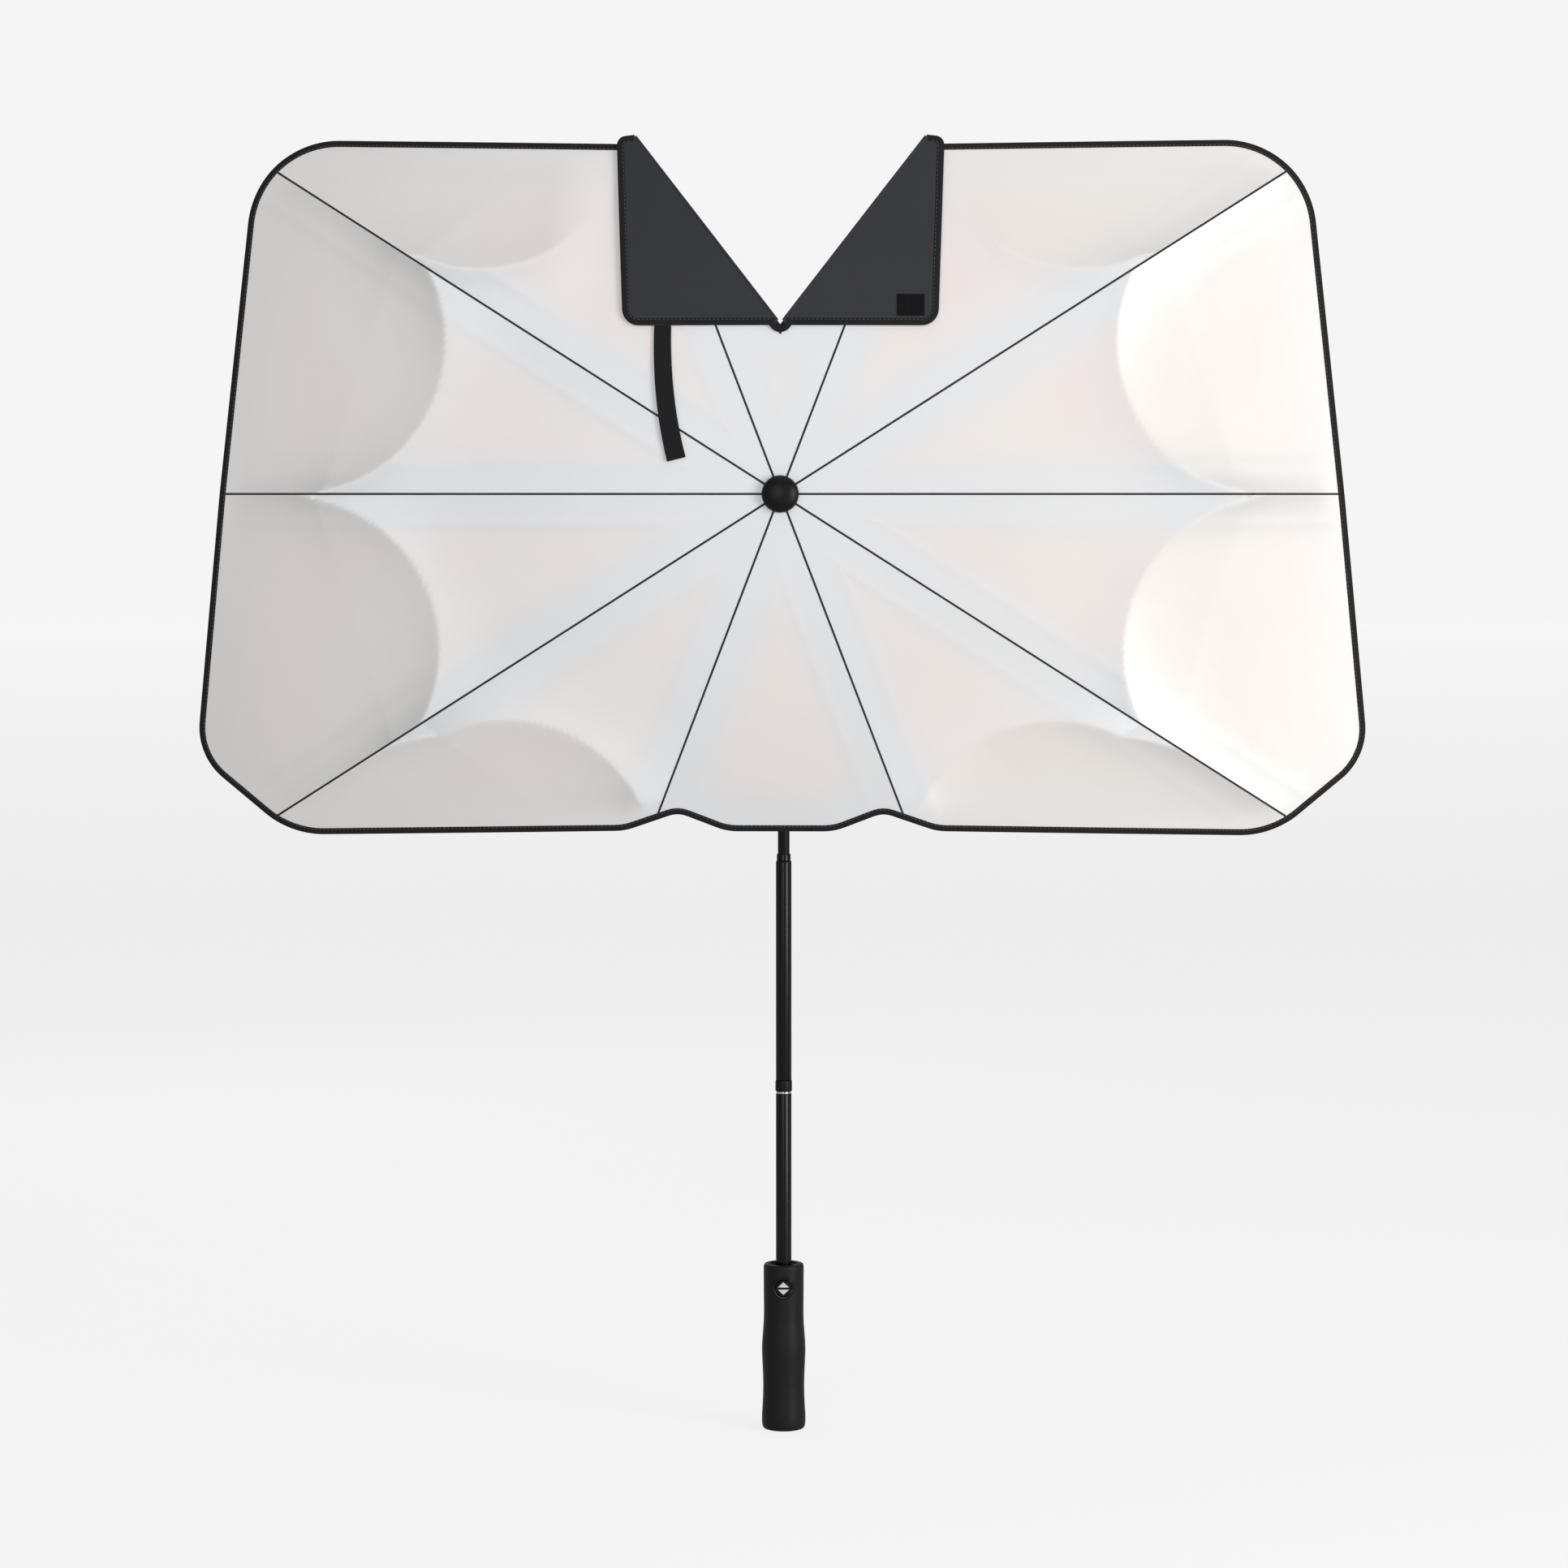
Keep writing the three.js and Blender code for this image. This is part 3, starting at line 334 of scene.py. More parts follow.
grip_low, grip_high = node_box("handle_grip")
GRIP_TOP = grip_high.z
SHAFT_R = node_box("outer_tube")[1].x
SHAFT_ROOM = SHAFT_R + 0.3 * mm
plug_high = node_box("end_plug")[1]
COLLAR_R = node_box("handle_collar")[1].x
COLLAR_FOOT = node_box("handle_collar")[0].z
GRIP_R = grip_high.x
grip_shape = [
    (plug_high.x + 0.3 * mm, 0),
    (GRIP_R - 3.8 * mm, 0),
    (GRIP_R - 1.6 * mm, 1.0 * mm),
    (GRIP_R - 0.5 * mm, 3.2 * mm),
    (GRIP_R - 0.05 * mm, 7 * mm),
    (GRIP_R, 0.08 * GRIP_TOP),
    (GRIP_R - 0.55 * mm, 0.13 * GRIP_TOP),
    (GRIP_R - 1.15 * mm, 0.19 * GRIP_TOP),
    (GRIP_R - 1.4 * mm, 0.26 * GRIP_TOP),
    (GRIP_R - 1.15 * mm, 0.33 * GRIP_TOP),
    (GRIP_R - 0.45 * mm, 0.41 * GRIP_TOP),
    (GRIP_R - 0.02 * mm, 0.48 * GRIP_TOP),
    (GRIP_R - 0.35 * mm, 0.53 * GRIP_TOP),
    (GRIP_R - 1.2 * mm, 0.59 * GRIP_TOP),
    (GRIP_R - 1.95 * mm, 0.65 * GRIP_TOP),
    (GRIP_R - 2.2 * mm, 0.71 * GRIP_TOP),
    (GRIP_R - 2.0 * mm, 0.85 * GRIP_TOP),
    (GRIP_R - 1.9 * mm, GRIP_TOP - 3.4 * mm),
    (GRIP_R - 2.3 * mm, GRIP_TOP - 1.5 * mm),
    (GRIP_R - 3.4 * mm, GRIP_TOP - 0.3 * mm),
    (GRIP_R - 4.8 * mm, GRIP_TOP),
    (COLLAR_R + 0.3 * mm, GRIP_TOP),
    (COLLAR_R + 0.3 * mm, COLLAR_FOOT - 0.3 * mm),
    (SHAFT_ROOM, COLLAR_FOOT - 0.3 * mm),
    (SHAFT_ROOM, plug_high.z + 0.3 * mm),
    (plug_high.x + 0.3 * mm, plug_high.z + 0.3 * mm),
]
grip = spun("handle_grip_coat", grip_shape, soft_touch_rubber, sides=128, edge=2.2 * mm)

bezel_low, bezel_high = node_box("button_bezel")
BUTTON_Z = (bezel_low.z + bezel_high.z) / 2
BEZEL_R = (bezel_high.z - bezel_low.z) / 2
POCKET_BACK = -bezel_high.y - 0.3 * mm
borer = spun("borer", [
    (0, POCKET_BACK),
    (BEZEL_R + 0.3 * mm, POCKET_BACK),
    (BEZEL_R + 0.3 * mm, 2 * GRIP_R),
    (0, 2 * GRIP_R),
], soft_touch_rubber, (0, 0, BUTTON_Z), "y", 64, 0.01 * mm)
cut = grip.modifiers.new("pocket", "BOOLEAN")
cut.object = borer
cut.operation = "DIFFERENCE"
cut.solver = "EXACT"
grip = smooth(plain(grip), 28)
bpy.data.objects.remove(borer)
fitted(grip, "handle", "grip_rubber", "handle_grip")

plug = refined("end_plug", satin_abs, 0.6 * mm)
fitted(plug, "handle", "black_plastic", "end_plug")

COLLAR_TOP = node_box("handle_collar")[1].z
collar = spun("handle_collar_turned", [
    (SHAFT_ROOM, COLLAR_FOOT),
    (COLLAR_R, COLLAR_FOOT),
    (COLLAR_R, COLLAR_TOP),
    (COLLAR_R - 1.6 * mm, COLLAR_TOP),
    (COLLAR_R - 3.2 * mm, COLLAR_TOP - 2.6 * mm),
    (SHAFT_ROOM, COLLAR_TOP - 3 * mm),
], satin_abs, edge=0.5 * mm)
fitted(collar, "handle", "black_plastic", "handle_collar")


# ---------------------------------------------------------------- release button
# An acetal button in a glossy bezel, both following the round of the grip.
# It carries two printed arrowheads, one up and one down, in light grey ink.
FRONT_R = GRIP_R - 1.9 * mm


def on_front(x, proud):
    return -math.sqrt((FRONT_R + proud) ** 2 - x * x)


def front_round(name, profile, material, sides=72):
    """A round part let into the grip's front. Profile rows are radius, and depth from the curve or from the axis."""
    points, faces = [], []
    for i in range(sides):
        turn = 2 * math.pi * i / sides
        for radius, proud, straight in profile:
            x = radius * math.cos(turn)
            y = -proud if straight else on_front(x, proud)
            points.append((x, y, BUTTON_Z + radius * math.sin(turn)))
    row = len(profile)
    for i in range(sides):
        j = (i + 1) % sides
        faces += [(i * row + k, j * row + k, j * row + k + 1, i * row + k + 1) for k in range(row - 1)]
    return smooth(cleaned(mesh_object(name, points, faces, material)), 40)


gloss_abs = surface_finish("gloss_black_abs", "#0b0b0c", 0.2, 1.5, 0.05, specular=0.35)
button_high = node_box("release_button")
BUTTON_R = (button_high[1].z - button_high[0].z) / 2
BUTTON_BACK = -button_high[1].y
bezel = front_round("button_bezel_ring", [
    (BUTTON_R + 0.3 * mm, POCKET_BACK + 0.3 * mm, True),
    (BUTTON_R + 0.3 * mm, -0.6 * mm, False),
    (BUTTON_R + 0.6 * mm, -0.1 * mm, False),
    (BUTTON_R + 1.2 * mm, 0.25 * mm, False),
    (BEZEL_R - 1.0 * mm, 0.5 * mm, False),
    (BEZEL_R - 0.4 * mm, 0.42 * mm, False),
    (BEZEL_R, -0.1 * mm, False),
    (BEZEL_R, POCKET_BACK + 0.3 * mm, True),
    (BUTTON_R + 0.3 * mm, POCKET_BACK + 0.3 * mm, True),
], gloss_abs)
fitted(bezel, "handle", "black_plastic", "button_bezel")

button = front_round("release_button_cap", [
    (0, 0.85 * mm, False),
    (BUTTON_R * 0.35, 0.88 * mm, False),
    (BUTTON_R * 0.7, 0.97 * mm, False),
    (BUTTON_R - 0.9 * mm, 1.08 * mm, False),
    (BUTTON_R - 0.35 * mm, 0.98 * mm, False),
    (BUTTON_R - 0.05 * mm, 0.6 * mm, False),
    (BUTTON_R, 0.1 * mm, False),
    (BUTTON_R, BUTTON_BACK, True),
    (0, BUTTON_BACK, True),
], satin_abs)
fitted(button, "button", "button_plastic", "release_button")

pad_ink = surface_finish("grey_pad_ink", "#d6d7d8", 0.5, 0.6, 0.1)
ARROW_HALF = 6.0 * mm
ARROW_HEIGHT = 5.6 * mm
ARROW_APART = 1.2 * mm
INK_PROUD = 1.18 * mm
arrow_rows = 10
arrow_points, arrow_faces = [], []
for way in (1, -1):
    first = len(arrow_points)
    for row in range(arrow_rows + 1):
        share = row / arrow_rows
        for column in range(arrow_rows + 1):
            x = ARROW_HALF * (1 - share) * (2 * column / arrow_rows - 1)
            z = way * (ARROW_APART + ARROW_HEIGHT * share)
            arrow_points.append((x, on_front(x, INK_PROUD), BUTTON_Z + z))
    for row in range(arrow_rows):
        for column in range(arrow_rows):
            a = first + row * (arrow_rows + 1) + column
            quad = (a, a + 1, a + arrow_rows + 2, a + arrow_rows + 1)
            arrow_faces.append(quad if way > 0 else quad[::-1])
arrows = mesh_object("button_arrows", arrow_points, arrow_faces, pad_ink)
film = arrows.modifiers.new("film", "SOLIDIFY")
film.thickness = 0.25 * mm
film.offset = -1
arrows = smooth(cleaned(plain(arrows)))
fitted(arrows, "button", "button_plastic")


# ---------------------------------------------------------------- shaft
# Three drawn steel tubes, powder coated in satin black, which slide into one another.
# The lowest turns in the next at a bright nickel ring under a moulded collar.
def coated_tube(name, colour, roughness):
    """Satin paint over drawn steel: it keeps a long highlight, with fine lines along the draw."""
    material = bpy.data.materials.new(name)
    material.use_nodes = True
    tree = material.node_tree
    tree.nodes.clear()
    place = add(tree, "ShaderNodeTexCoord")
    drawn = add(tree, "ShaderNodeMapping", {"Vector": place.outputs["Object"], "Scale": (900, 900, 6)})
    lines = add(tree, "ShaderNodeTexNoise", {"Vector": drawn.outputs[0], "Scale": 1.0, "Detail": 2.0})
    peel = add(tree, "ShaderNodeTexNoise", {"Vector": place.outputs["Object"], "Scale": 650.0, "Detail": 1.0})
    rough = add(tree, "ShaderNodeMapRange", {
        "Value": lines.outputs["Fac"],
        "To Min": roughness - 0.06,
        "To Max": roughness + 0.06,
    })
    tint = add(tree, "ShaderNodeMix", {
        "Factor": lines.outputs["Fac"],
        6: tuple(c * 0.85 for c in linear(colour)[:3]) + (1,),
        7: tuple(c * 1.15 for c in linear(colour)[:3]) + (1,),
    }, data_type="RGBA")
    bump = add(tree, "ShaderNodeBump", {"Height": peel.outputs["Fac"], "Strength": 0.12, "Distance": 0.05 * mm})
    paint = add(tree, "ShaderNodeBsdfPrincipled", {
        "Base Color": tint.outputs[2],
        "Roughness": rough.outputs[0],
        "Metallic": 0.0,
        "Specular IOR Level": 0.27,
        "Normal": bump.outputs[0],
    })
    add(tree, "ShaderNodeOutputMaterial", {"Surface": paint.outputs[0]})
    return material


def bright_metal(name, colour, roughness):
    material = bpy.data.materials.new(name)
    material.use_nodes = True
    tree = material.node_tree
    tree.nodes.clear()
    place = add(tree, "ShaderNodeTexCoord")
    haze = add(tree, "ShaderNodeTexNoise", {"Vector": place.outputs["Object"], "Scale": 420.0, "Detail": 3.0})
    rough = add(tree, "ShaderNodeMapRange", {
        "Value": haze.outputs["Fac"],
        "To Min": roughness - 0.07,
        "To Max": roughness + 0.1,
    })
    metal = add(tree, "ShaderNodeBsdfPrincipled", {
        "Base Color": linear(colour),
        "Metallic": 1.0,
        "Roughness": rough.outputs[0],
    })
    add(tree, "ShaderNodeOutputMaterial", {"Surface": metal.outputs[0]})
    return material


powder_coat = coated_tube("satin_powder_coat", "#080809", 0.25)
nickel = bright_metal("nickel_plate", "#c9cbcd", 0.24)


def tube(name, node, wall, material, body, slot, neck=None):
    low, high = node_box(node)
    outer, foot, top = high.x, low.z, high.z
    profile = [(outer - wall, foot), (outer, foot), (outer, top), (outer - wall, top)]
    if neck:
        neck_r, neck_h = neck
        profile[2:] = [(outer, top - neck_h - 1 * mm), (neck_r, top - neck_h), (neck_r, top), (neck_r - wall, top)]
        profile.append((neck_r - wall, foot))
        profile[0] = (neck_r - wall, foot)
    return fitted(spun(name, profile, material, edge=0.35 * mm), body, slot, node)


TUBE_WALL = 0.9 * mm
tube("outer_tube_drawn", "outer_tube", TUBE_WALL, powder_coat, "handle", "black_steel")
ring_body = next(b for b, nodes in frame["record"]["behaviour"]["bodies"].items() if "swivel_ring" in nodes)
tube("swivel_ring_turned", "swivel_ring", 1.2 * mm, nickel, ring_body, "bright_steel")
tube("inner_tube_drawn", "inner_tube", TUBE_WALL, powder_coat, "upper_shaft", "black_steel")

ring_top = node_box("swivel_ring")[1].z
collar_low, collar_high = node_box("swivel_collar")
SPIGOT_R = collar_high.x - 1.2 * mm
INNER_ROOM = node_box("inner_tube")[1].x + 0.3 * mm
middle_high = node_box("middle_tube")[1]
NECK_R = 7.5 * mm
NECK_H = 7 * mm
middle = spun("middle_tube_drawn", [
    (INNER_ROOM, collar_low.z),
    (SPIGOT_R, collar_low.z),
    (SPIGOT_R, collar_high.z + 0.3 * mm),
    (middle_high.x, collar_high.z + 0.3 * mm),
    (middle_high.x, middle_high.z - NECK_H - 1.2 * mm),
    (NECK_R, middle_high.z - NECK_H),
    (NECK_R, middle_high.z),
    (INNER_ROOM, middle_high.z),
], powder_coat, edge=0.5 * mm)
fitted(middle, "lower_shaft", "black_steel", "middle_tube")

swivel_collar = spun("swivel_collar_moulded", [
    (SPIGOT_R + 0.25 * mm, collar_low.z),
    (collar_high.x - 0.4 * mm, collar_low.z),
    (collar_high.x, collar_low.z + 0.9 * mm),
    (collar_high.x, collar_high.z - 1.2 * mm),
    (collar_high.x - 0.45 * mm, collar_high.z),
    (SPIGOT_R + 0.25 * mm, collar_high.z),
], satin_abs, edge=0.4 * mm)
fitted(swivel_collar, "lower_shaft", "black_plastic", "swivel_collar")


# ---------------------------------------------------------------- elbow
# A nylon fork and tongue on a nickel-plated rivet, which let the canopy stand square to the shaft.
glass_nylon = surface_finish("glass_filled_nylon", "#111112", 0.48, 0.9, 0.3, specular=0.28)
fitted(refined("elbow_fork", glass_nylon, 0.5 * mm), "upper_shaft", "black_plastic", "elbow_fork")
fitted(refined("elbow_tongue", glass_nylon, 0.5 * mm), "head", "black_plastic", "elbow_tongue")
fitted(refined("elbow_pin", nickel, 0.5 * mm), "upper_shaft", "bright_steel", "elbow_pin")


# ---------------------------------------------------------------- head: tube, crown, cap and runner
# A thin steel tube carries the moulded crown that the ribs hinge in, and the runner that opens them.
# The cap is a moulded satin dome, pressed into the tube through the cloth.
tube_low, tube_high = node_box("canopy_tube")
HEAD_TUBE_R = (tube_high.x - tube_low.x) / 2
head_axis = (0, 0, (tube_low.z + tube_high.z) / 2)
head_tube = spun("canopy_tube_drawn", [
    (HEAD_TUBE_R - 0.8 * mm, -tube_high.y),
    (HEAD_TUBE_R, -tube_high.y),
    (HEAD_TUBE_R, -tube_low.y),
    (HEAD_TUBE_R - 0.8 * mm, -tube_low.y),
], powder_coat, head_axis, "y", 64)
fitted(head_tube, "head", "black_steel", "canopy_tube")
fitted(refined("crown_hub", glass_nylon, 0.3 * mm), "head", "black_plastic", "crown_hub")
fitted(refined("runner", glass_nylon, 0.3 * mm), "runner", "black_plastic", "runner")

cap_low, cap_high = node_box("top_cap")
CAP_R = cap_high.x
CAP_TIP = -cap_low.y
CAP_BACK = -tube_low.y + 0.3 * mm
CAP_DOME = CAP_TIP - CAP_BACK - 3 * mm
cap_profile = [(0, CAP_BACK - 14 * mm), (HEAD_TUBE_R - 1.1 * mm, CAP_BACK - 14 * mm)]
cap_profile += [(HEAD_TUBE_R - 1.1 * mm, CAP_BACK), (CAP_R - 0.9 * mm, CAP_BACK), (CAP_R, CAP_BACK + 0.9 * mm)]
dome_steps = 14
for i in range(dome_steps + 1):
    turn = math.pi / 2 * i / dome_steps
    cap_profile.append((CAP_R * math.cos(turn), CAP_BACK + 3 * mm + CAP_DOME * math.sin(turn)))
cap_profile[-1] = (0, cap_profile[-1][1])
cap = spun("top_cap_moulded", cap_profile, satin_abs, head_axis, "y", 96, 0.25 * mm)
fitted(cap, "head", "black_plastic", "top_cap")


# ---------------------------------------------------------------- ribs, stretchers and their rivets
# Ribs and stretchers are grooved steel channel in black lacquer; the tips are glass-fibre rod.
# Each hinge is a steel rivet with two small domed heads.
def assigned(node, material):
    for place in frame["nodes"][node].material_slots:
        place.material = material


rib_lacquer = coated_tube("black_rib_lacquer", "#161719", 0.36)
fibreglass = surface_finish("black_fibreglass", "#141415", 0.42, 0.7, 0.3, specular=0.3)
assigned("crown_wire", nickel)
joints = {j["name"]: j for j in frame["record"]["behaviour"]["joints"]}
rib_names = sorted(name[4:6] for name in joints if name.startswith("rib_") and name.endswith("_root"))
for name in rib_names:
    assigned(f"rib_inner_{name}", rib_lacquer)
    assigned(f"stretcher_{name}", rib_lacquer)
    assigned(f"rib_outer_{name}", fibreglass)
    if f"rib_middle_{name}" in frame["nodes"]:
        assigned(f"rib_middle_{name}", rib_lacquer)


def tree_input(tree, name, kind, value=None):
    """Adds an input to a geometry tree and gives its identifier."""
    socket = tree.interface.new_socket(name, in_out="INPUT", socket_type=kind)
    if value is not None:
        socket.default_value = value
    return socket.identifier


def geometry_tree(name):
    tree = bpy.data.node_groups.new(name, "GeometryNodeTree")
    tree.interface.new_socket("Geometry", in_out="INPUT", socket_type="NodeSocketGeometry")
    tree.interface.new_socket("Geometry", in_out="OUTPUT", socket_type="NodeSocketGeometry")
    return tree


def grown(obj, tree, values):
    """Runs a geometry tree on an object, with inputs given by identifier, and keeps the plain mesh."""
    grow = obj.modifiers.new(tree.name, "NODES")
    grow.node_group = tree
    for key, value in values.items():
        grow[key] = value
    return plain(obj)


rivets = geometry_tree("rivets")
rivet_radius = tree_input(rivets, "Radius", "NodeSocketFloat", 1.2 * mm)
rivet_height = tree_input(rivets, "Height", "NodeSocketFloat", 0.6 * mm)
rivet_metal = tree_input(rivets, "Material", "NodeSocketMaterial")
given = add(rivets, "NodeGroupInput")
head = add(rivets, "GeometryNodeMeshUVSphere", {"Segments": 12, "Rings": 8, "Radius": 1.0})
facing = add(rivets, "GeometryNodeInputNamedAttribute", {"Name": "facing"}, data_type="FLOAT_VECTOR")
turned = add(rivets, "FunctionNodeAlignRotationToVector", {"Vector": facing.outputs["Attribute"]}, axis="Z")
size = add(rivets, "ShaderNodeCombineXYZ", {
    "X": given.outputs["Radius"],
    "Y": given.outputs["Radius"],
    "Z": given.outputs["Height"],
})
placed = add(rivets, "GeometryNodeInstanceOnPoints", {
    "Points": given.outputs["Geometry"],
    "Instance": head.outputs["Mesh"],
    "Rotation": turned.outputs[0],
    "Scale": size.outputs[0],
})
real = add(rivets, "GeometryNodeRealizeInstances", {"Geometry": placed.outputs[0]})
round_shade = add(rivets, "GeometryNodeSetShadeSmooth", {"Geometry": real.outputs[0]})
clad = add(rivets, "GeometryNodeSetMaterial", {
    "Geometry": round_shade.outputs[0],
    "Material": given.outputs["Material"],
})
add(rivets, "NodeGroupOutput", {"Geometry": clad.outputs[0]})

RIVET_OUT = 1.45 * mm
for name in rib_names:
    for joint_name, body in ((f"rib_{name}_strut", f"inner_{name}"), (f"rib_{name}_fold", f"inner_{name}"),
                             (f"rib_{name}_tip", f"middle_{name}")):
        if joint_name not in joints:
            continue
        joint = joints[joint_name]
        across = Vector(joint["axis"]).normalized()
        middle_point = Vector(joint["pos_m"])
        heads = mesh_object(f"rivet_{joint_name}", [middle_point + across * RIVET_OUT,
                                                    middle_point - across * RIVET_OUT], [])
        attribute = heads.data.attributes.new("facing", "FLOAT_VECTOR", "POINT")
        attribute.data.foreach_set("vector", [*across, *(-across)])
        heads = grown(heads, rivets, {rivet_metal: nickel})
        fitted(heads, body, "rib_steel")


# ---------------------------------------------------------------- canopy
# Polyester cloth with a pearly aluminium coat outside and a plain grey weave inside.
# It is cut in ten panels that are sewn along the ribs, and pulled tight over them into a shallow dome.
# Towards the hem each side panel is cupped, which draws a curved lip across it from rib to rib.
CROWN = Vector(joints["rib_01_root"]["pos_m"]).lerp(Vector(joints["rib_06_root"]["pos_m"]), 0.5)
DOME_DEPTH = 62 * mm
DOME_RADIUS = 600 * mm
CLOTH_FRONT = 6.0 * mm
CLOTH_BACK = 5.5 * mm
CLOTH_STEP = 5 * mm
BINDING_W = 6.5 * mm
HOLE_R = 5.6 * mm

# hem corners of the left half, from the notch down to the middle of the bottom edge: x, z, radius in mm
HEM_CORNERS = [
    (0, 171.6, 0),
    (-149, 364, 0),
    (-166, 354.5, 0),
    (-538, 362.5, 94),
    (-607, -271, 65),
    (-507, -352, 95),
    (-160, -344.6, 60),
    (-105, -325.5, 26),
    (-55, -344.8, 60),
    (0, -344.8, 0),
]


def rounded_line(corners_mm, step):
    """A fine line through the corners, in metres, with the given radii as arcs."""
    corner = [Vector((x, z)) * mm for x, z, _ in corners_mm]
    line = []
    for i, (_, _, radius) in enumerate(corners_mm):
        if not radius:
            line.append(corner[i])
            continue
        radius = radius * mm
        before = (corner[i - 1] - corner[i]).normalized()
        after = (corner[i + 1] - corner[i]).normalized()
        half = before.angle(after) / 2
        centre = corner[i] + (before + after).normalized() * (radius / math.sin(half))
        start = corner[i] + before * (radius / math.tan(half)) - centre
        end = corner[i] + after * (radius / math.tan(half)) - centre
        steps = max(3, math.ceil((math.pi - 2 * half) * radius / step))
        for k in range(steps + 1):
            share = k / steps
            mixed = start * math.sin((1 - share) * (math.pi - 2 * half)) + end * math.sin(share * (math.pi - 2 * half))
            line.append(centre + mixed / math.sin(math.pi - 2 * half))
    fine = []
    for a, b in zip(line, line[1:]):
        parts = max(1, math.ceil((b - a).length / step))
        fine += [a.lerp(b, k / parts) for k in range(parts)]
    return fine + [line[-1]]


def mirrored(line):
    return [Vector((-p.x, p.y)) for p in line]


left_hem = rounded_line(HEM_CORNERS, CLOTH_STEP)
hem = left_hem + mirrored(left_hem)[-2:0:-1]
rib_turns = sorted(
    math.atan2(Vector(joints[f"rib_{n}_root"]["pos_m"]).z - CROWN.z,
               Vector(joints[f"rib_{n}_root"]["pos_m"]).x - CROWN.x) % (2 * math.pi)
    for n in rib_names
)


def turn_of(p):
    return math.atan2(p.y, p.x) % (2 * math.pi)


def hem_at(turn):
    """Point of the hem in a direction from the crown."""
    along = Vector((math.cos(turn), math.sin(turn)))
    for a, b in zip(hem, hem[1:] + hem[:1]):
        side_a, side_b = along.cross(a), along.cross(b)
        if side_a * side_b <= 0 and along.dot(a) > 0 and side_a != side_b:
            return a.lerp(b, side_a / (side_a - side_b))
    raise ValueError("the hem has a gap")


rib_count = len(rib_turns)
panels = []
for i, low in enumerate(rib_turns):
    high = rib_turns[(i + 1) % rib_count] + (2 * math.pi if i == rib_count - 1 else 0)
    panels.append((low, high))

# each cupped panel's lip: panel number, and the middle of its arc from the crown in mm
LIP_R = 154 * mm
lips = {0: (494, 155), 1: (304, 382), 3: (-304, 382), 4: (-494, 155),
        5: (-502, -158), 6: (-280, -385), 8: (280, -385), 9: (502, -158)}
LIP_OPENS = 0.55  # beyond the arc's round part its sides spread by this share, out to the ribs
LIP_OPENS_AT = 70 * mm  # on the crown's side of the arc's middle
LIP_RISE = 17 * mm  # at the ribs, where the cup pulls hardest
LIP_MIDDLE = 0.42  # share of that rise that is left in the middle of the arc
LIP_ROUND = 3 * mm
LIP_HELD = 0.4  # share of the rise that the cloth keeps where its seams hold it down
LIP_REACH = 45 * mm
LIP_OUTSIDE = 30 * mm
LIP_INSIDE = 50 * mm
CREASE_AT = 30 * mm
CREASE_WIDTH = 6 * mm
CREASE_RISE = 0.28 * mm


def ease(value, low, high):
    t = np.clip((value - low) / (high - low), 0, 1)
    return t * t * (3 - 2 * t)


def cloth_facts(x, z, panel):
    """Distances on one panel: to the nearer rib, to the lip (positive inside), and the bare depth."""
    low, high = panels[panel]
    middle, half = (low + high) / 2, (high - low) / 2
    radius = np.hypot(x, z)
    off = (np.arctan2(z, x) - middle + math.pi) % (2 * math.pi) - math.pi
    seam = radius * np.minimum(np.sin(np.clip(half - off, 0, 1.5)), np.sin(np.clip(half + off, 0, 1.5)))
    depth = DOME_DEPTH * (radius * np.cos(off) / math.cos(half) / DOME_RADIUS) ** 2
    if panel in lips:
        cx, cz = (v * mm for v in lips[panel])
        out = math.atan2(cz, cx)
        across = (z - cz) * math.cos(out) - (x - cx) * math.sin(out)
        along = (x - cx) * math.cos(out) + (z - cz) * math.sin(out)
        lip = LIP_R - np.hypot(across, np.minimum(along, 0)) + LIP_OPENS * np.maximum(along + LIP_OPENS_AT, 0)
    else:
        lip = np.full_like(radius, -1.0)
    return seam, lip, depth


def cloth_depth(x, z, panel, gap, held=True):
    """How far behind the crown's pivots the cloth lies at x, z, before its lift. gap is the distance to the hem.

    held keeps the seams down on the ribs; without it the lips run on across them, as their shading does.
    """
    seam, lip, depth = cloth_facts(x, z, panel)
    soft = np.sqrt(lip ** 2 + LIP_ROUND ** 2)
    reach = LIP_OUTSIDE + (LIP_INSIDE - LIP_OUTSIDE) * ease(lip, -LIP_ROUND, LIP_ROUND)
    rise = LIP_RISE * np.exp(-soft / reach)
    rise = rise * (LIP_MIDDLE + (1 - LIP_MIDDLE) * np.exp(-seam / LIP_REACH))
    clear_of_flap = 1 - (1 - ease(np.abs(x), 167 * mm, 235 * mm)) * ease(z, 120 * mm, 165 * mm)
    rise = rise * clear_of_flap * ease(gap, 5 * mm, 34 * mm)
    if held:
        rise = rise * LIP_HELD * ease(seam, 0, 26 * mm)
    crease = CREASE_RISE * np.exp(-(((seam - CREASE_AT) / CREASE_WIDTH) ** 2))
    return depth - rise - crease * clear_of_flap * ease(gap, 5 * mm, 20 * mm)


def links_of(rib):
    """The rib's name, its bodies from the crown out, and the radius at which each ends."""
    turn = rib_turns[rib]
    for name in rib_names:
        place = Vector(joints[f"rib_{name}_root"]["pos_m"]) - CROWN
        if abs((math.atan2(place.z, place.x) - turn + math.pi) % (2 * math.pi) - math.pi) < 0.01:
            break
    bodies, ends = [f"inner_{name}"], []
    along = Vector((math.cos(turn), 0, math.sin(turn)))
    for hinge, body in (("fold", "middle"), ("tip", "outer")):
        if f"rib_{name}_{hinge}" in joints:
            ends.append((Vector(joints[f"rib_{name}_{hinge}"]["pos_m"]) - CROWN).dot(along))
            bodies.append(f"{body}_{name}")
    if f"middle_{name}" not in frame["bodies"]:
        bodies[-1] = f"outer_{name}"
    return name, bodies, ends + [1e3]


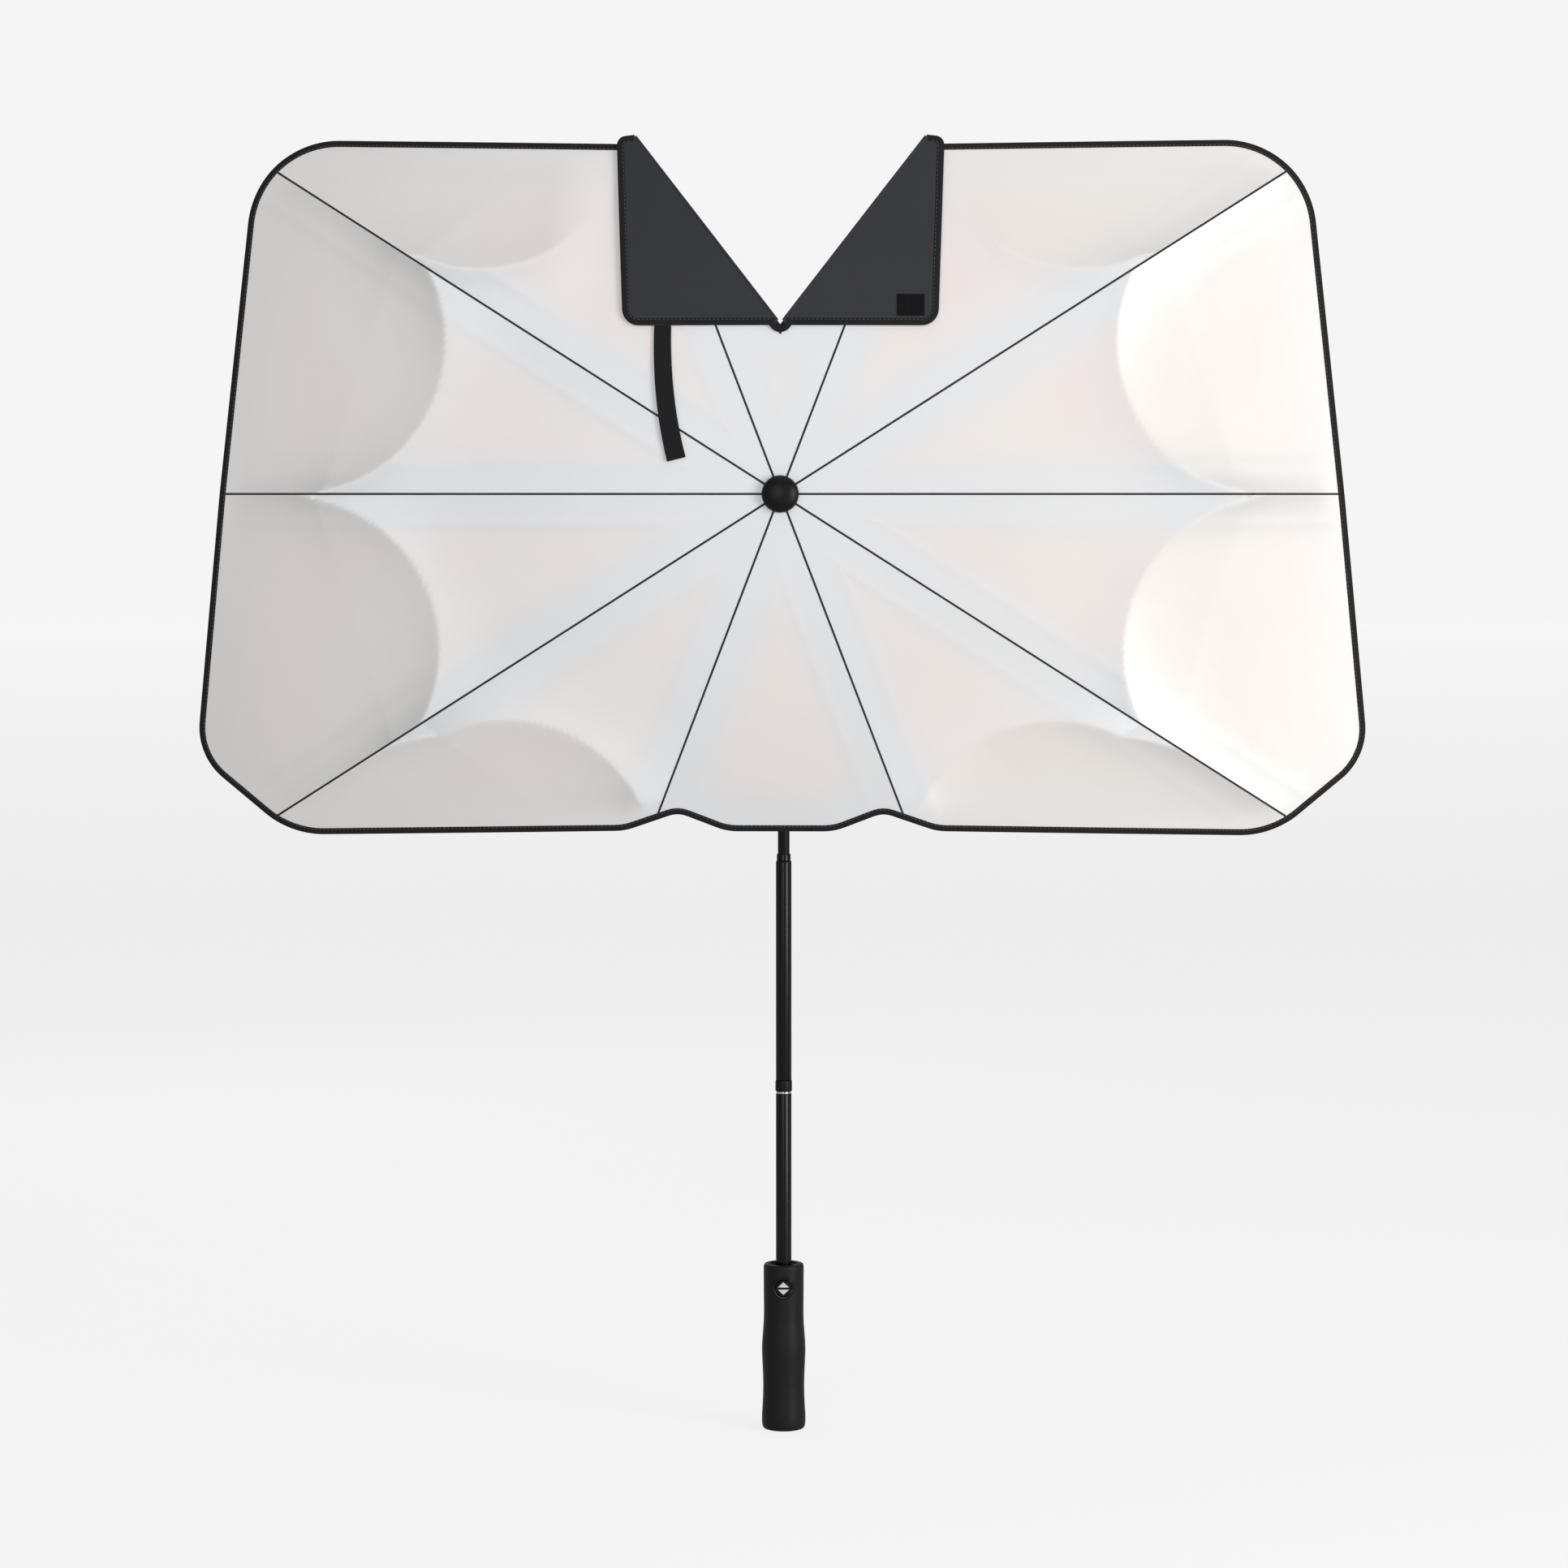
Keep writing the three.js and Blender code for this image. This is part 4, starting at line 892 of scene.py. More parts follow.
# the hem cut at every rib and at the middle of every panel, as one list of directions
turns = sorted({round(turn_of(p), 9) for p in hem} | {round(t, 9) for t in rib_turns}
               | {round((low + high) / 2 % (2 * math.pi), 9) for low, high in panels})


def silver_coat():
    """Aluminium-pigment coat on polyester: pearly and soft, cooler by the seams and warmer inside the panels. It
    carries a painted reflection in cream inside each lip, and a painted shade in blue-grey just outside it.
    """
    material = bpy.data.materials.new("pearl_silver_coat")
    material.use_nodes = True
    tree = material.node_tree
    tree.nodes.clear()
    place = add(tree, "ShaderNodeTexCoord")
    seam = add(tree, "ShaderNodeAttribute", attribute_name="seam_mm")
    lip = add(tree, "ShaderNodeAttribute", attribute_name="lip_mm")
    edge = add(tree, "ShaderNodeAttribute", attribute_name="hem_mm")
    cloud = add(tree, "ShaderNodeTexNoise", {"Vector": place.outputs["Object"], "Scale": 5.5, "Detail": 2.0})
    field = add(tree, "ShaderNodeMapRange", {"Value": seam.outputs["Fac"], "From Min": 18.0, "From Max": 62.0},
                interpolation_type="SMOOTHSTEP")
    rim = add(tree, "ShaderNodeMapRange", {"Value": edge.outputs["Fac"], "From Min": 20.0, "From Max": 70.0},
              interpolation_type="SMOOTHSTEP")
    inner = add(tree, "ShaderNodeMath", {0: field.outputs[0], 1: rim.outputs[0]}, operation="MULTIPLY")
    blush = add(tree, "ShaderNodeMapRange", {"Value": cloud.outputs["Fac"], "From Min": 0.35, "From Max": 0.65})
    warm = add(tree, "ShaderNodeMix", {
        "Factor": blush.outputs[0],
        6: linear("#e8e4e0"),
        7: linear("#e9e0de"),
    }, data_type="RGBA")
    base = add(tree, "ShaderNodeMix", {
        "Factor": inner.outputs[0],
        6: linear("#e2e3e4"),
        7: warm.outputs[2],
    }, data_type="RGBA")
    # painted reflection: inside each lip the colour is tinted a little towards cream, for the light that the cupped
    # cloth catches
    lip_reflection_mask = add(tree, "ShaderNodeMapRange", {"Value": lip.outputs["Fac"], "From Min": -1.0, "From Max": 1.5})
    painted_lip_reflection = add(tree, "ShaderNodeMix", {
        "Factor": lip_reflection_mask.outputs[0],
        6: base.outputs[2],
        7: linear("#e6e2dd"),
    }, data_type="RGBA")
    painted_lip_reflection_share = add(tree, "ShaderNodeMix", {
        "Factor": 0.45,
        6: base.outputs[2],
        7: painted_lip_reflection.outputs[2],
    }, data_type="RGBA")
    # painted shade: in a band up to 55 mm outside each lip, on the crown's side, the colour is mixed a fifth of the
    # way towards blue-grey
    shade = add(tree, "ShaderNodeMapRange", {"Value": lip.outputs["Fac"], "From Min": -55.0, "From Max": 0.0},
                interpolation_type="SMOOTHSTEP")
    outside = add(tree, "ShaderNodeMath", {0: lip.outputs["Fac"], 1: 0.0}, operation="LESS_THAN")
    painted_shade_outside_lip = add(tree, "ShaderNodeMath", {0: shade.outputs[0], 1: outside.outputs[0]}, operation="MULTIPLY")
    painted_shade_share = add(tree, "ShaderNodeMath", {0: painted_shade_outside_lip.outputs[0], 1: 0.2}, operation="MULTIPLY")
    colour = add(tree, "ShaderNodeMix", {
        "Factor": painted_shade_share.outputs[0],
        6: painted_lip_reflection_share.outputs[2],
        7: linear("#d8dce0"),
    }, data_type="RGBA")
    # threads 0.8 mm apart, coarser than the real cloth's 0.2 mm so that they show
    weave_u = add(tree, "ShaderNodeTexWave", {"Vector": place.outputs["Object"], "Scale": 200.0},
                  wave_type="BANDS", bands_direction="X")
    weave_v = add(tree, "ShaderNodeTexWave", {"Vector": place.outputs["Object"], "Scale": 200.0},
                  wave_type="BANDS", bands_direction="Z")
    weave = add(tree, "ShaderNodeMath", {0: weave_u.outputs["Fac"], 1: weave_v.outputs["Fac"]}, operation="ADD")
    fine = add(tree, "ShaderNodeBump", {"Height": weave.outputs[0], "Strength": 0.10, "Distance": 0.08 * mm})
    slack = add(tree, "ShaderNodeTexNoise", {"Vector": place.outputs["Object"], "Scale": 16.0, "Detail": 3.0})
    bump = add(tree, "ShaderNodeBump", {
        "Height": slack.outputs["Fac"],
        "Strength": 0.16,
        "Distance": 4 * mm,
        "Normal": fine.outputs[0],
    })
    coat = add(tree, "ShaderNodeBsdfPrincipled", {
        "Base Color": colour.outputs[2],
        "Metallic": 0.12,
        "Roughness": 0.46,
        "Specular IOR Level": 0.6,
        "Sheen Weight": 0.15,
        "Sheen Roughness": 0.4,
        "Normal": bump.outputs[0],
    })
    add(tree, "ShaderNodeOutputMaterial", {"Surface": coat.outputs[0]})
    return material


def woven(name, colour, thread_mm, depth, roughness, axis_a="X", axis_b="Z"):
    """A plain weave: two sets of threads that cross, with a little variation between threads."""
    material = bpy.data.materials.new(name)
    material.use_nodes = True
    tree = material.node_tree
    tree.nodes.clear()
    place = add(tree, "ShaderNodeTexCoord")
    # a wave of scale s repeats every 2 pi / (20 s) units, so this gives one thread each thread_mm
    scale = 2 * math.pi / (20 * thread_mm * mm)
    warp = add(tree, "ShaderNodeTexWave", {"Vector": place.outputs["Object"], "Scale": scale},
               wave_type="BANDS", bands_direction=axis_a)
    weft = add(tree, "ShaderNodeTexWave", {"Vector": place.outputs["Object"], "Scale": scale},
               wave_type="BANDS", bands_direction=axis_b)
    cross = add(tree, "ShaderNodeMath", {0: warp.outputs["Fac"], 1: weft.outputs["Fac"]}, operation="MULTIPLY")
    cloud = add(tree, "ShaderNodeTexNoise", {"Vector": place.outputs["Object"], "Scale": 30.0, "Detail": 4.0})
    tint = add(tree, "ShaderNodeMix", {
        "Factor": cloud.outputs["Fac"],
        6: tuple(c * 0.8 for c in linear(colour)[:3]) + (1,),
        7: tuple(min(1, c * 1.2) for c in linear(colour)[:3]) + (1,),
    }, data_type="RGBA")
    bump = add(tree, "ShaderNodeBump", {"Height": cross.outputs[0], "Strength": depth, "Distance": 0.2 * mm})
    cloth = add(tree, "ShaderNodeBsdfPrincipled", {
        "Base Color": tint.outputs[2],
        "Roughness": roughness,
        "Specular IOR Level": 0.25,
        "Sheen Weight": 0.05,
        "Normal": bump.outputs[0],
    })
    add(tree, "ShaderNodeOutputMaterial", {"Surface": cloth.outputs[0]})
    return material


pearl_silver = silver_coat()
grey_weave = woven("grey_polyester_back", "#a3a5a8", 0.9, 0.3, 0.75)
hem_points = np.array([tuple(p) for p in hem])


def cloth_columns(rib, side):
    """Directions across half of a rib's strip, from the rib to the middle of the next panel."""
    panel = rib if side > 0 else (rib - 1) % rib_count
    low, high = panels[panel]
    start, end = (low, (low + high) / 2) if side > 0 else ((low + high) / 2, high)
    inside = [t + k * 2 * math.pi for t in turns for k in (0, 1)]
    return panel, [start] + sorted(t for t in inside if start + 1e-5 < t < end - 1e-5) + [end]


def cloth_strip(rib, link, name, begins, ends):
    """The cloth over one link of one rib, as outer and inner faces with their rim, and its flat area."""
    points, normals, faces, looks = [], [], [], []
    seams, lip_values, hems = [], [], []
    area = 0.0
    for side in (1, -1):
        panel, columns = cloth_columns(rib, side)
        turn = np.array(columns)
        off = turn - (rib_turns[rib] if side > 0 else panels[panel][1])
        reach = np.array([hem_at(t % (2 * math.pi)).length for t in columns]) - BINDING_W / 2
        near = np.minimum(begins / np.cos(off), reach) if begins > HOLE_R else np.full(len(columns), HOLE_R)
        far = np.minimum(ends / np.cos(off), reach)
        rows = max(2, math.ceil(float((far - near).max()) / CLOTH_STEP))
        share = np.linspace(0, 1, rows + 1)
        radius = near[:, None] + (far - near)[:, None] * share[None, :]
        x, z = radius * np.cos(turn)[:, None], radius * np.sin(turn)[:, None]
        flat = np.stack([x.ravel(), z.ravel()], 1)
        gap = np.sqrt(((flat[:, None, :] - hem_points[None, :, :]) ** 2).sum(2).min(1))
        near_hem = gap.reshape(x.shape)
        tiny = 0.2 * mm
        depth = cloth_depth(x, z, panel, near_hem)
        east, west, up, down = (
            cloth_depth(x + dx * tiny, z + dz * tiny, panel, near_hem, held=False)
            for dx, dz in ((1, 0), (-1, 0), (0, 1), (0, -1))
        )
        slope_x, slope_z = (east - west) / (2 * tiny), (up - down) / (2 * tiny)
        seam, lip, _ = cloth_facts(x, z, panel)
        outward = np.stack([slope_x, -np.ones_like(slope_x), slope_z], -1)
        outward /= np.linalg.norm(outward, axis=-1, keepdims=True)
        first = len(points)
        for lift, sign in ((CLOTH_FRONT, 1), (CLOTH_BACK, -1)):
            body = np.stack([CROWN.x + x, CROWN.y + depth - lift, CROWN.z + z], -1).reshape(-1, 3)
            points += body.tolist()
            normals += (sign * outward).reshape(-1, 3).tolist()
            seams += (seam.ravel() / mm).tolist()
            lip_values += (lip.ravel() / mm).tolist()
            hems += (gap / mm).tolist()
        row, count = rows + 1, len(columns)
        layer = row * count

        def at(i, j, back=0):
            return first + back * layer + i * row + j

        for i in range(count - 1):
            for j in range(rows):
                if radius[i, j + 1] - radius[i, j] < 1e-7 and radius[i + 1, j + 1] - radius[i + 1, j] < 1e-7:
                    continue
                faces.append((at(i, j), at(i, j + 1), at(i + 1, j + 1), at(i + 1, j)))
                looks.append(0)
                faces.append((at(i, j, 1), at(i + 1, j, 1), at(i + 1, j + 1, 1), at(i, j + 1, 1)))
                looks.append(1)
            for j, a, b in ((0, i, i + 1), (rows, i + 1, i)):
                faces.append((at(a, j), at(b, j), at(b, j, 1), at(a, j, 1)))
                looks.append(1)
        for j in range(rows):
            faces.append((at(count - 1, j), at(count - 1, j + 1), at(count - 1, j + 1, 1), at(count - 1, j, 1)))
            faces.append((at(0, j), at(0, j, 1), at(0, j + 1, 1), at(0, j + 1)))
            looks += [1, 1]
        step = np.diff(radius, axis=1) * (radius[:, 1:] + radius[:, :-1]) / 2
        widths = np.diff(turn)[:, None]
        area += float(((step[1:] + step[:-1]) / 2 * widths).sum())
    obj = mesh_object(name, points, faces)
    obj.data.materials.append(pearl_silver)
    obj.data.materials.append(grey_weave)
    obj.data.polygons.foreach_set("material_index", looks)
    for label, values in (("seam_mm", seams), ("lip_mm", lip_values), ("hem_mm", hems)):
        obj.data.attributes.new(label, "FLOAT", "POINT").data.foreach_set("value", values)
    obj.data.shade_smooth()
    obj.data.normals_split_custom_set_from_vertices(normals)
    return obj, area, points


def folds_with(obj):
    """Gives the piece its own copy of its mesh."""
    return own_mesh(obj)


def on_cloth(x, z, lift):
    """A point lifted off the bare cloth, from its place in the canopy's plane."""
    turn = math.atan2(z, x) % (2 * math.pi)
    panel = next((i for i, (low, high) in enumerate(panels) if low <= turn <= high), 0)
    _, _, depth = cloth_facts(np.array([x]), np.array([z]), panel)
    return Vector((CROWN.x + x, CROWN.y + float(depth[0]) - lift, CROWN.z + z))


# the seams: two panels' edges sewn together over the rib, which leaves a thin dark welt on the outside
welt = geometry_tree("welt")
welt_radius = tree_input(welt, "Radius", "NodeSocketFloat", 1.2 * mm)
welt_material = tree_input(welt, "Material", "NodeSocketMaterial")
given = add(welt, "NodeGroupInput")
line = add(welt, "GeometryNodeMeshToCurve", {"Mesh": given.outputs["Geometry"]})
section = add(welt, "GeometryNodeCurvePrimitiveCircle", {"Resolution": 10, "Radius": given.outputs["Radius"]})
swept = add(welt, "GeometryNodeCurveToMesh", {
    "Curve": line.outputs[0],
    "Profile Curve": section.outputs[0],
    "Fill Caps": True,
})
round_shade = add(welt, "GeometryNodeSetShadeSmooth", {"Geometry": swept.outputs[0]})
clad = add(welt, "GeometryNodeSetMaterial", {
    "Geometry": round_shade.outputs[0],
    "Material": given.outputs["Material"],
})
add(welt, "NodeGroupOutput", {"Geometry": clad.outputs[0]})

# lockstitches: short rounded threads along a line, each a little sunk at its ends
stitching = geometry_tree("stitching")
stitch_pitch = tree_input(stitching, "Pitch", "NodeSocketFloat", 4.2 * mm)
stitch_length = tree_input(stitching, "Length", "NodeSocketFloat", 1.5 * mm)
stitch_radius = tree_input(stitching, "Radius", "NodeSocketFloat", 0.42 * mm)
stitch_material = tree_input(stitching, "Material", "NodeSocketMaterial")
given = add(stitching, "NodeGroupInput")
line = add(stitching, "GeometryNodeMeshToCurve", {"Mesh": given.outputs["Geometry"]})
spaced = add(stitching, "GeometryNodeCurveToPoints", {"Curve": line.outputs[0], "Length": given.outputs["Pitch"]},
             mode="LENGTH")
thread = add(stitching, "GeometryNodeMeshUVSphere", {"Segments": 6, "Rings": 5, "Radius": 1.0})
size = add(stitching, "ShaderNodeCombineXYZ", {
    "X": given.outputs["Radius"],
    "Y": given.outputs["Radius"],
    "Z": given.outputs["Length"],
})
placed = add(stitching, "GeometryNodeInstanceOnPoints", {
    "Points": spaced.outputs["Points"],
    "Instance": thread.outputs["Mesh"],
    "Rotation": spaced.outputs["Rotation"],
    "Scale": size.outputs[0],
})
real = add(stitching, "GeometryNodeRealizeInstances", {"Geometry": placed.outputs[0]})
round_shade = add(stitching, "GeometryNodeSetShadeSmooth", {"Geometry": real.outputs[0]})
clad = add(stitching, "GeometryNodeSetMaterial", {
    "Geometry": round_shade.outputs[0],
    "Material": given.outputs["Material"],
})
add(stitching, "NodeGroupOutput", {"Geometry": clad.outputs[0]})


def thread_line(name, points):
    return mesh_object(name, points, [], edges=[(i, i + 1) for i in range(len(points) - 1)])


def sewn(name, points, material, **sizes):
    known = {"pitch": stitch_pitch, "length": stitch_length, "radius": stitch_radius}
    values = {known[key]: value for key, value in sizes.items()}
    return grown(thread_line(name, points), stitching, {stitch_material: material, **values})


black_tape = woven("black_grosgrain", "#121214", 0.9, 0.5, 0.7)
black_thread = woven("black_polyester_thread", "#4a4b50", 0.5, 0.4, 0.5)
seam_thread = woven("seam_edge", "#2a2a2e", 0.6, 0.3, 0.6)
SEAM_R = 1.15 * mm
SEAM_LIFT = CLOTH_FRONT - 0.35 * mm


def seam_line(rib, begins, ends):
    turn = rib_turns[rib]
    stop = min(ends, hem_at(turn).length - BINDING_W / 2)
    count = max(3, math.ceil((stop - begins) / (15 * mm)))
    along = [begins + (stop - begins) * k / count for k in range(count + 1)]
    return [on_cloth(r * math.cos(turn + 1e-6), r * math.sin(turn + 1e-6), SEAM_LIFT) for r in along]


# the binding: black tape folded over the cloth's edge, with rounded sides and one row of stitches
TAPE_HALF_T = 1.15 * mm
TAPE_LIFT = 5.75 * mm
TAPE_SQUARE = 0.55
TAPE_STITCH_IN = 5.0 * mm
tape_turns = [2 * math.pi * k / 16 for k in range(16)]


def tape_section(width, half_thick):
    """Rounded-rectangle section as pairs of distance in from the edge, and rise."""
    def squared(v):
        return math.copysign(abs(v) ** TAPE_SQUARE, v)
    return [(width / 2 - width / 2 * squared(math.cos(t)), half_thick * squared(math.sin(t))) for t in tape_turns]


def inward_at(line, closed):
    """The inward direction at each point of a line that runs anticlockwise round the cloth, with its mitre."""
    result = []
    last = len(line) - 1
    for i, p in enumerate(line):
        before = line[i - 1] if i or closed else None
        after = line[(i + 1) % len(line)] if i < last or closed else None
        sides = [(p - before).normalized() if before else None, (after - p).normalized() if after else None]
        left = [Vector((-d.y, d.x)) for d in sides if d]
        mean = (left[0] + left[-1]).normalized()
        result.append(mean / max(0.5, mean.dot(left[0])))
    return result


def tape(name, line, inward, section, lift, material, place=on_cloth):
    """Tape along a line, closed at both ends. place turns a spot and its lift into a point."""
    points, faces = [], []
    for p, into in zip(line, inward):
        for distance, rise in section:
            q = p + into * distance
            points.append(place(q.x, q.y, lift + rise))
    count = len(section)
    for i in range(len(line) - 1):
        for k in range(count):
            m = (k + 1) % count
            faces.append((i * count + k, i * count + m, (i + 1) * count + m, (i + 1) * count + k))
    faces.append(tuple(range(count)))
    faces.append(tuple(range((len(line) - 1) * count, len(line) * count))[::-1])
    return smooth(cleaned(mesh_object(name, points, faces, material)), 50)


hem_inward = inward_at(hem, True)
hem_section = tape_section(BINDING_W, TAPE_HALF_T)


def hem_stretch(rib, begins, ends):
    """The stretches of hem that one link's cloth reaches, as lists of points with their inward directions."""
    turn = rib_turns[rib]
    low = sum(panels[(rib - 1) % rib_count]) / 2 - (2 * math.pi if rib == 0 else 0)
    high = sum(panels[rib]) / 2
    cuts = []
    for t in (low, high):
        cuts.append((t, hem_at(t % (2 * math.pi)), None))
    spots = []
    for p, into in zip(hem, hem_inward):
        t = turn + (turn_of(p) - turn + math.pi) % (2 * math.pi) - math.pi
        if low + 1e-5 < t < high - 1e-5:
            spots.append((t, p, into))
    for t, p, _ in cuts:
        nearest = min(range(len(hem)), key=lambda i: (hem[i] - p).length)
        spots.append((t, p, hem_inward[nearest]))
    spots.sort(key=lambda spot: spot[0])
    runs, run = [], []
    for t, p, into in spots:
        if begins - 1e-6 <= p.length * math.cos(t - turn) <= ends + CLOTH_STEP:
            run.append((p, into))
        elif run:
            runs.append(run)
            run = []
    return [r for r in runs + [run] if len(r) > 2]


def joined(name, parts):
    """Several mesh objects made one."""
    with bpy.context.temp_override(active_object=parts[0], selected_editable_objects=parts):
        bpy.ops.object.join()
    parts[0].name = name
    return parts[0]


CAP_COVER = CAP_R - 3 * mm
for rib in range(rib_count):
    name, link_bodies, link_ends = links_of(rib)
    begins = HOLE_R
    for link, (body, ends) in enumerate(zip(link_bodies, link_ends)):
        strip, area, points = cloth_strip(rib, link, f"canopy_{body}", begins, ends)
        trims = []
        seam = thread_line(f"seam_{body}", seam_line(rib, max(begins, CAP_COVER), ends))
        seam = grown(seam, welt, {welt_radius: SEAM_R, welt_material: seam_thread})
        trims.append((seam, ()))
        tapes, rows = [], []
        for k, run in enumerate(hem_stretch(rib, begins, ends)):
            line, inward = [p for p, _ in run], [into for _, into in run]
            tapes.append(tape(f"binding_{body}_{k}", line, inward, hem_section, TAPE_LIFT, black_tape))
            row = [on_cloth(*(p + into * TAPE_STITCH_IN), TAPE_LIFT + TAPE_HALF_T * 0.95) for p, into in run]
            rows.append(sewn(f"binding_stitches_{body}_{k}", row, black_thread))
        if tapes:
            trims.append((joined(f"binding_{body}", tapes), ("canopy_binding",)))
            trims.append((joined(f"binding_stitches_{body}", rows), ()))
        for trim, nodes in trims:
            fitted(trim, body, "binding_tape", *nodes)
            folds_with(trim)
        begins = ends
        fitted(strip, body, "silver_cloth", "canopy")
        folds_with(strip)


# ---------------------------------------------------------------- notch flaps
# Two leatherette flaps, black polyurethane on a knit back, sewn to the edges of the mirror notch.
# They are folded out over the cloth, bound in tape on the free sides, and rolled over on the fold.
def leatherette_skin():
    """Matt embossed polyurethane: small irregular pebbles, slightly shinier where they have been rubbed."""
    material = bpy.data.materials.new("charcoal_leatherette")
    material.use_nodes = True
    tree = material.node_tree
    tree.nodes.clear()
    place = add(tree, "ShaderNodeTexCoord")
    # pebbles 1.1 mm across, about twice the real ones so that they show
    pebbles = add(tree, "ShaderNodeTexVoronoi", {"Vector": place.outputs["Object"], "Scale": 900.0},
                  feature="SMOOTH_F1")
    soft = add(tree, "ShaderNodeTexNoise", {"Vector": place.outputs["Object"], "Scale": 14.0, "Detail": 3.0})
    tint = add(tree, "ShaderNodeMix", {
        "Factor": soft.outputs["Fac"],
        6: linear("#222327"),
        7: linear("#2f3035"),
    }, data_type="RGBA")
    rough = add(tree, "ShaderNodeMapRange", {"Value": soft.outputs["Fac"], "To Min": 0.5, "To Max": 0.66})
    grain = add(tree, "ShaderNodeBump", {
        "Height": pebbles.outputs["Distance"],
        "Strength": 0.35,
        "Distance": 0.15 * mm,
    })
    slack = add(tree, "ShaderNodeBump", {
        "Height": soft.outputs["Fac"],
        "Strength": 0.25,
        "Distance": 3 * mm,
        "Normal": grain.outputs[0],
    })
    skin = add(tree, "ShaderNodeBsdfPrincipled", {
        "Base Color": tint.outputs[2],
        "Roughness": rough.outputs[0],
        "Specular IOR Level": 0.3,
        "Normal": slack.outputs[0],
    })
    add(tree, "ShaderNodeOutputMaterial", {"Surface": skin.outputs[0]})
    return material


charcoal_leatherette = leatherette_skin()
notch, horn = Vector(HEM_CORNERS[0][:2]) * mm, Vector(HEM_CORNERS[1][:2]) * mm
FLAP_BACK = 7.15 * mm
FLAP_THICK = 1.2 * mm
FLAP_TAPE_W = 7.5 * mm
FLAP_TAPE_T = 1.05 * mm
FLAP_STITCH_IN = 6.0 * mm
FLAP_RIM = [(-149.5, 363.2, 0), (-166.2, 361.5, 9), (-159.9, 170.3, 17), (-6, 170.6, 0)]
FOLD_R = 1.5 * mm
ACROSS = 26
ALONG = 64


def on_flap(x, z, lift):
    """A point over the flap's own smooth dome, which the stiff leatherette keeps instead of the panels' folds."""
    depth = DOME_DEPTH * (math.hypot(x, z) / DOME_RADIUS) ** 2
    return Vector((CROWN.x + x, CROWN.y + depth - lift, CROWN.z + z))


def evenly(line, count):
    """The line again, as count + 1 points at equal spacing."""
    lengths = [0.0]
    for a, b in zip(line, line[1:]):
        lengths.append(lengths[-1] + (b - a).length)
    out, k = [], 0
    for i in range(count + 1):
        target = lengths[-1] * i / count
        while k < len(line) - 2 and lengths[k + 1] < target:
            k += 1
        share = (target - lengths[k]) / max(1e-9, lengths[k + 1] - lengths[k])
        out.append(line[k].lerp(line[k + 1], min(1, share)))
    return out


def cloth_sheet(name, edge_a, edge_b, across, back, front, place, material, ripple=lambda u, v: 0.0):
    """Closed thin sheet between two lines of equal count. ripple lifts its front by a share along and across."""
    points, faces = [], []
    count = len(edge_a)
    for lift, face in ((back, 0), (front, 1)):
        for i in range(count):
            for j in range(across + 1):
                p = edge_a[i].lerp(edge_b[i], j / across)
                points.append(place(p.x, p.y, lift + ripple(i / (count - 1), j / across)))
    row = across + 1
    layer = row * count
    for i in range(count - 1):
        for j in range(across):
            a, b, c, d = i * row + j, i * row + j + 1, (i + 1) * row + j + 1, (i + 1) * row + j
            faces.append((a, b, c, d))
            faces.append((a + layer, d + layer, c + layer, b + layer))
        for j in (0, across):
            faces.append((i * row + j, (i + 1) * row + j, (i + 1) * row + j + layer, i * row + j + layer))
    for i in (0, count - 1):
        for j in range(across):
            faces.append((i * row + j, i * row + j + 1, i * row + j + 1 + layer, i * row + j + layer))
    return smooth(cleaned(mesh_object(name, points, faces, material)), 50)


def outline_area(line):
    return abs(sum(a.cross(b) for a, b in zip(line, line[1:] + line[:1]))) / 2


def made_flap(side_name, mirror):
    """One flap with its rim tape, its stitches and its rolled fold."""
    turned = mirrored if mirror else list
    fold = [horn.lerp(notch, 0.012), horn.lerp(notch, 0.98)]
    rim = rounded_line(FLAP_RIM, 3 * mm)
    body = f"flap_{side_name}"

    def soft(u, v):
        return 0.35 * mm * math.sin(5.1 * u + 1.3) * math.sin(3.3 * v + 0.4)

    hide = cloth_sheet(f"{body}_hide", turned(evenly(fold, ALONG)), turned(evenly(rim, ALONG)), ACROSS,
                       FLAP_BACK, FLAP_BACK + FLAP_THICK, on_flap, charcoal_leatherette, soft)
    run = turned(rim)
    ordered = run if not mirror else run[::-1]
    inward = inward_at(ordered, False)
    if outline_area(ordered) and (Vector((0, -1)).dot(inward[len(inward) // 2]) > 0) == (not mirror):
        pass
    section = tape_section(FLAP_TAPE_W, FLAP_TAPE_T)
    lift = FLAP_BACK + FLAP_THICK / 2
    edging = tape(f"{body}_edging", ordered, inward, section, lift, black_tape, on_flap)
    row = [on_flap(*(p + into * FLAP_STITCH_IN), lift + FLAP_TAPE_T * 0.92) for p, into in zip(ordered, inward)]
    stitches = sewn(f"{body}_stitches", row[2:-2], black_thread)
    roll = thread_line(f"{body}_fold", [on_flap(p.x, p.y, FLAP_BACK + 0.2 * mm) for p in turned(evenly(fold, 24))])
    roll = grown(roll, welt, {welt_radius: FOLD_R, welt_material: charcoal_leatherette})
    trims = [edging, stitches, roll]
    fitted(hide, body, "leatherette", body)
    folds_with(hide)
    for trim, slot in zip(trims, ("binding_tape", "binding_tape", "leatherette")):
        fitted(trim, body, slot)
        folds_with(trim)


made_flap("left", False)
made_flap("right", True)

# the loop of tape sewn round the notch's point, under both flaps' feet
LOOP_R = 12.5 * mm
LOOP_W = 6 * mm
LOOP_RAISED = 4.5 * mm
loop_line = [notch + Vector((LOOP_R * math.cos(math.radians(a)), LOOP_R * math.sin(math.radians(a)) + LOOP_RAISED))
             for a in range(196, 345, 8)]
loop = tape("notch_loop", loop_line, inward_at(loop_line, False), tape_section(LOOP_W, TAPE_HALF_T),
            TAPE_LIFT + 1.2 * mm, black_tape, on_flap)
fitted(loop, "outer_04", "binding_tape")
folds_with(loop)


